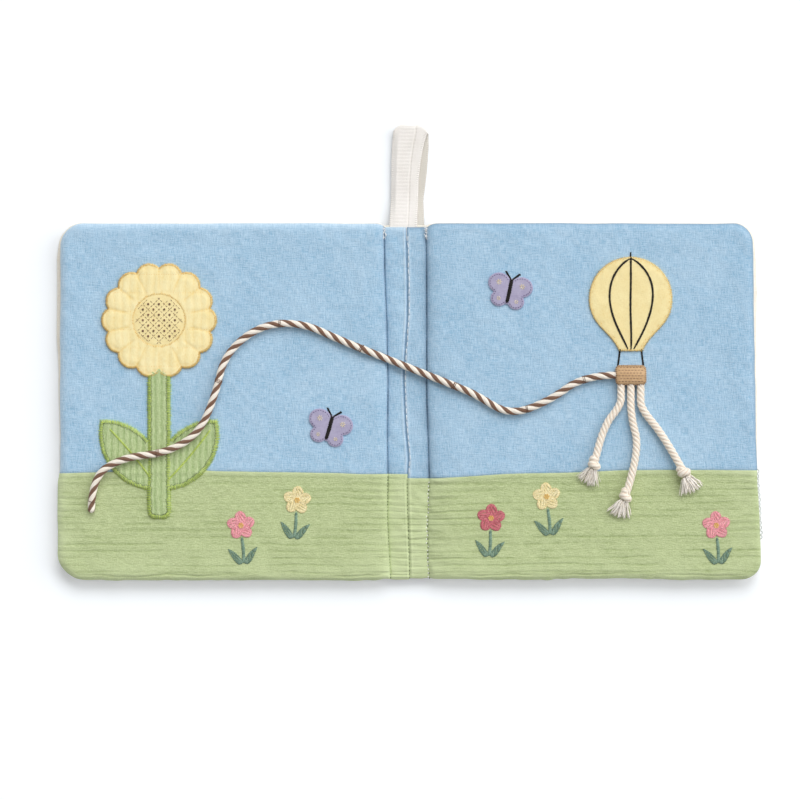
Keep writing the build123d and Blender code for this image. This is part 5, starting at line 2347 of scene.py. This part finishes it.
@dataclass
class Seams:
    """The sewing threads of the pages: fold lines, middle seam, horizon and edges."""

    def fold_stitches(self, side: Side) -> None:
        """Sew the two rows that make the fold lines."""
        rng = np.random.default_rng(5 + side.value)
        horizon = float(BOOK.horizon(side, np.array(FOLD_X)))
        gap = 1.0 if side is Side.LEFT else 1.7
        parts = {
            "sky": (horizon + 0.5, 96.6, BLUE_THREAD, 1.7, 0.22),
            "ground": (-97.6, horizon - 0.3, GREEN_THREAD, 0.7, gap),
        }
        for name, (low, high, finish, stitch, gap) in parts.items():
            y = np.linspace(low, high, 200)
            wander = 0.15 * Noise(12 + side.value)(y / 14, 0.4)
            line = np.stack([side.value * BOOK.fold_line(side, y) + wander, y], -1)
            rows = running(line, BOOK.top, stitch, gap, 0.10 if name == "sky" else 0.3)
            rows[..., 0] += rng.normal(0, 0.06, (len(rows), 1))
            piece = threads(rows, 0.27, 5, 3).piece(f"fold_stitches_{side.word}_{name}", finish)
            over_fold(piece)
        if side is Side.RIGHT:
            y = np.linspace(-97, -43, 120)
            line = np.stack([BOOK.fold_line(side, y) - 0.2, y], -1)
            rows = running(line, BOOK.top, 0.6, 1.5, 0.4)
            rows[..., 0] += rng.normal(0, 0.3, (len(rows), 1))
            piece = threads(rows, 0.3, 5, 2).piece("fold_stitches_right_light", WHITE_THREAD)
            over_fold(piece)

    def middle_seam(self) -> None:
        """Sew the spine's two halves together."""
        y = np.linspace(-39, 96.5, 260)
        x = BOOK.seam(y) + 0.85 + 0.3 * Noise(8)(y / 5, 0.2)
        white = running(np.stack([x, y], -1), BOOK.top, 3.0, 0.7, 0.22)
        threads_piece("middle_seam_sky", WHITE_THREAD, "spine", 0.2, white)
        # short dark green stitches, which also stand in for the needle holes' painted shade
        y = np.linspace(-97.5, -42.5, 120)
        x = BOOK.seam(y) + 0.15 * Noise(9)(y / 9, 0.2)
        dark = running(np.stack([x, y], -1), BOOK.top, 0.7, 1.3, 0.12)
        threads_piece("middle_seam_ground", GREEN_THREAD, "spine", 0.2, dark)

    def horizon_stitches(self, side: Side) -> None:
        """Topstitch the ground's turned edge to the sky."""
        u = np.linspace(14.5, 190, 500)
        line = np.stack([side.value * u, BOOK.horizon(side, u) - 2.55], -1)
        rows = running(line, BOOK.top, 0.5, 1.5, 0.03)
        threads_piece(
            f"horizon_stitches_{side.word}", PALE_GREEN_THREAD, side.body, 0.13, rows, sides=4
        )

    def edge_loops(self) -> None:
        """Overcast the ground's outer edges, where the loops stand out a little."""
        rng = np.random.default_rng(77)
        t = np.linspace(0, 1, 7)
        for side, low, step, stand, thread in (
            (Side.RIGHT, -76, 2.6, 1.0, GREY_THREAD), (Side.LEFT, -84, 1.8, 0.25, WHITE_THREAD)
        ):
            y = np.arange(low, -38, step)
            paths = []
            for level, out in zip(y, BOOK.outer(BOOK.page_edges, side, y)):
                reach = stand + rng.normal(0, 0.15)
                if side is Side.LEFT:
                    x = out - 1.9 + (1.9 + reach) * np.sin(math.pi * t * 0.52) ** 1.2
                    z, length = 8.9 - 3.4 * t**1.5, 0.9
                else:
                    x = out - 0.7 + (0.7 + reach) * np.sin(math.pi * t) ** 0.8
                    z, length = 8.3 - 1.3 * np.sin(math.pi * t), 2.9
                paths.append(
                    np.stack([side.value * x, level + length * t + rng.normal(0, 0.1), z], -1)
                )
            threads_piece(f"edge_overcasting_{side.word}", thread, side.body, 0.2, np.array(paths))

    def head_threads(self) -> None:
        """Leave the small white thread ends where the spine's head meets the pages."""
        rng = np.random.default_rng(31)
        paths = []
        for x in (-13.9, -13.2, -12.5, 9.7, 10.5, 11.2):
            for _ in range(5):
                t = np.linspace(0, 1, 6)
                start = np.array([x + rng.normal(0, 0.3), rng.uniform(90.5, 96.5), 7.8])
                step = np.array([rng.normal(0, 0.7), rng.uniform(1.0, 3.2), rng.uniform(-0.2, 0.6)])
                paths.append(
                    start + t[:, None] * step + np.array([0.5, 0, 0.3]) * np.sin(t * 5)[:, None]
                )
        threads_piece("head_thread_ends", WHITE_THREAD, "spine", 0.17, np.array(paths))

    def build(self) -> None:
        """Make every seam."""
        for side in Side:
            self.fold_stitches(side)
            self.horizon_stitches(side)
        self.middle_seam()
        self.edge_loops()
        self.head_threads()


# Light and camera


@dataclass
class Studio:
    """White table, soft light from beyond the head of the book, and the camera straight above."""

    camera_height: float = 2.5
    middle: tuple[float, float] = (-0.00417, -0.02483)
    frame_width: float = PHOTO_PIXELS * MM_PER_PIXEL * MM
    sensor: float = 36.0
    table_colour: str = "#f5f9fd"
    table_glow: float = 0.11
    world_level: float = 0.44

    def camera(self) -> None:
        """Place the camera so that one pixel of the picture is one of the photograph."""
        data = bpy.data.cameras.new("camera")
        data.sensor_width = self.sensor
        data.lens = self.sensor * self.camera_height / self.frame_width
        data.clip_end = 50.0
        made = bpy.data.objects.new("camera", data)
        made.location = (*self.middle, self.camera_height + 0.0105)
        bpy.context.scene.collection.objects.link(made)
        bpy.context.scene.camera = made

    def lamp(self, name: str, toward: Sequence[float], strength: float, spread: float) -> None:
        """Add one distant lamp.

        Args:
            name: Its name.
            toward: Direction from the book to the lamp.
            strength: Light that falls square on a surface.
            spread: Apparent width in degrees, which sets how soft its shadow is.
        """
        data = bpy.data.lights.new(name, "SUN")
        data.energy = strength
        data.angle = math.radians(spread)
        made = bpy.data.objects.new(name, data)
        made.rotation_mode = "QUATERNION"
        made.rotation_quaternion = Vector(toward).to_track_quat("Z", "Y")
        bpy.context.scene.collection.objects.link(made)

    def seen_by(self, tree: bpy.types.NodeTree, *rays: str) -> bpy.types.NodeSocket:
        """Whether a ray is one of the named kinds, which are outputs of Light Path.

        Args:
            tree: The node tree.
            *rays: Names of the kinds.

        Returns:
            An output that is 1 for those rays and 0 for the others.
        """
        path = add_node(tree, "LightPath").node
        seen = path.outputs[rays[0]]
        for ray in rays[1:]:
            seen = add_node(tree, "Math", [seen, path.outputs[ray]], operation="MAXIMUM")
        return seen

    def floor(self) -> None:
        """Lay the white table, which keeps the book's soft shadow."""
        mesh = bpy.data.meshes.new("table_top")
        reach = 6.0
        corners = [(-reach, -reach, 0), (reach, -reach, 0), (reach, reach, 0), (-reach, reach, 0)]
        mesh.from_pydata(corners, [], [[0, 1, 2, 3]])
        made = bpy.data.objects.new("table_top", mesh)
        bpy.context.scene.collection.objects.link(made)
        material = bpy.data.materials.new("white_table")
        material.use_nodes = True
        tree = material.node_tree
        tree.nodes.clear()
        seen = self.seen_by(tree, "Is Camera Ray", "Is Glossy Ray", "Is Transmission Ray")
        lift = add_node(tree, "Math", [seen, self.table_glow], operation="MULTIPLY")
        glow = add_node(tree, "Emission", {"Color": WHITE, "Strength": lift})
        surface = add_node(tree, "BsdfDiffuse", {"Color": self.table_colour})
        both = add_node(tree, "AddShader", [surface, glow])
        add_node(tree, "OutputMaterial", {"Surface": both})
        mesh.materials.append(material)

    def build(self) -> None:
        """Set up the camera, the lamps, the world and the table."""
        scene = bpy.context.scene
        scene.view_settings.view_transform = "Standard"
        self.camera()
        self.floor()
        self.lamp("key_lamp", (0.2, 1.0, 1.0), 1.6, 38)
        self.lamp("side_lamp", (1.0, 0.35, 0.7), 1.15, 50)
        world = bpy.data.worlds.new("studio")
        world.use_nodes = True
        tree = world.node_tree
        tree.nodes.clear()
        seen = self.seen_by(tree, "Is Camera Ray", "Is Transmission Ray")
        level = add_node(tree, "MapRange", {0: seen, 3: self.world_level, 4: 1.0})
        sky = add_node(tree, "Background", {"Color": WHITE, "Strength": level})
        add_node(tree, "OutputWorld", {"Surface": sky})
        scene.world = world


def main() -> None:
    """Build the book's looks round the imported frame."""
    logging.basicConfig(level=logging.INFO, format="%(message)s")
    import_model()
    Studio().build()
    TwistedCord().build()
    KnottedRopes().build()
    for side in Side:
        StuffedFace(side).run()
        PageCloths(side).build()
        CoverLeaf(side).build()
    HangingLoop().build()
    Seams().build()
    Balloon().build()
    Flower().build()
    Butterfly(Side.RIGHT, 56.5, 62.0, -12.0).build()
    Butterfly(Side.LEFT, -43.5, -14.0, -16.0).build()
    Blossom(Side.LEFT, 1, -92.0, -76.0, PINK_THREAD, 4.0).build()
    Blossom(Side.LEFT, 2, -62.0, -62.0, BUTTER_THREAD, -5.0).build()
    Blossom(Side.RIGHT, 1, 46.0, -72.0, ROSE_THREAD, -3.0).build()
    Blossom(Side.RIGHT, 2, 78.0, -60.0, BUTTER_THREAD, 5.0).build()
    Blossom(Side.RIGHT, 3, 172.0, -76.0, PINK_THREAD, 3.0).build()


if __name__ == "__main__":
    main()
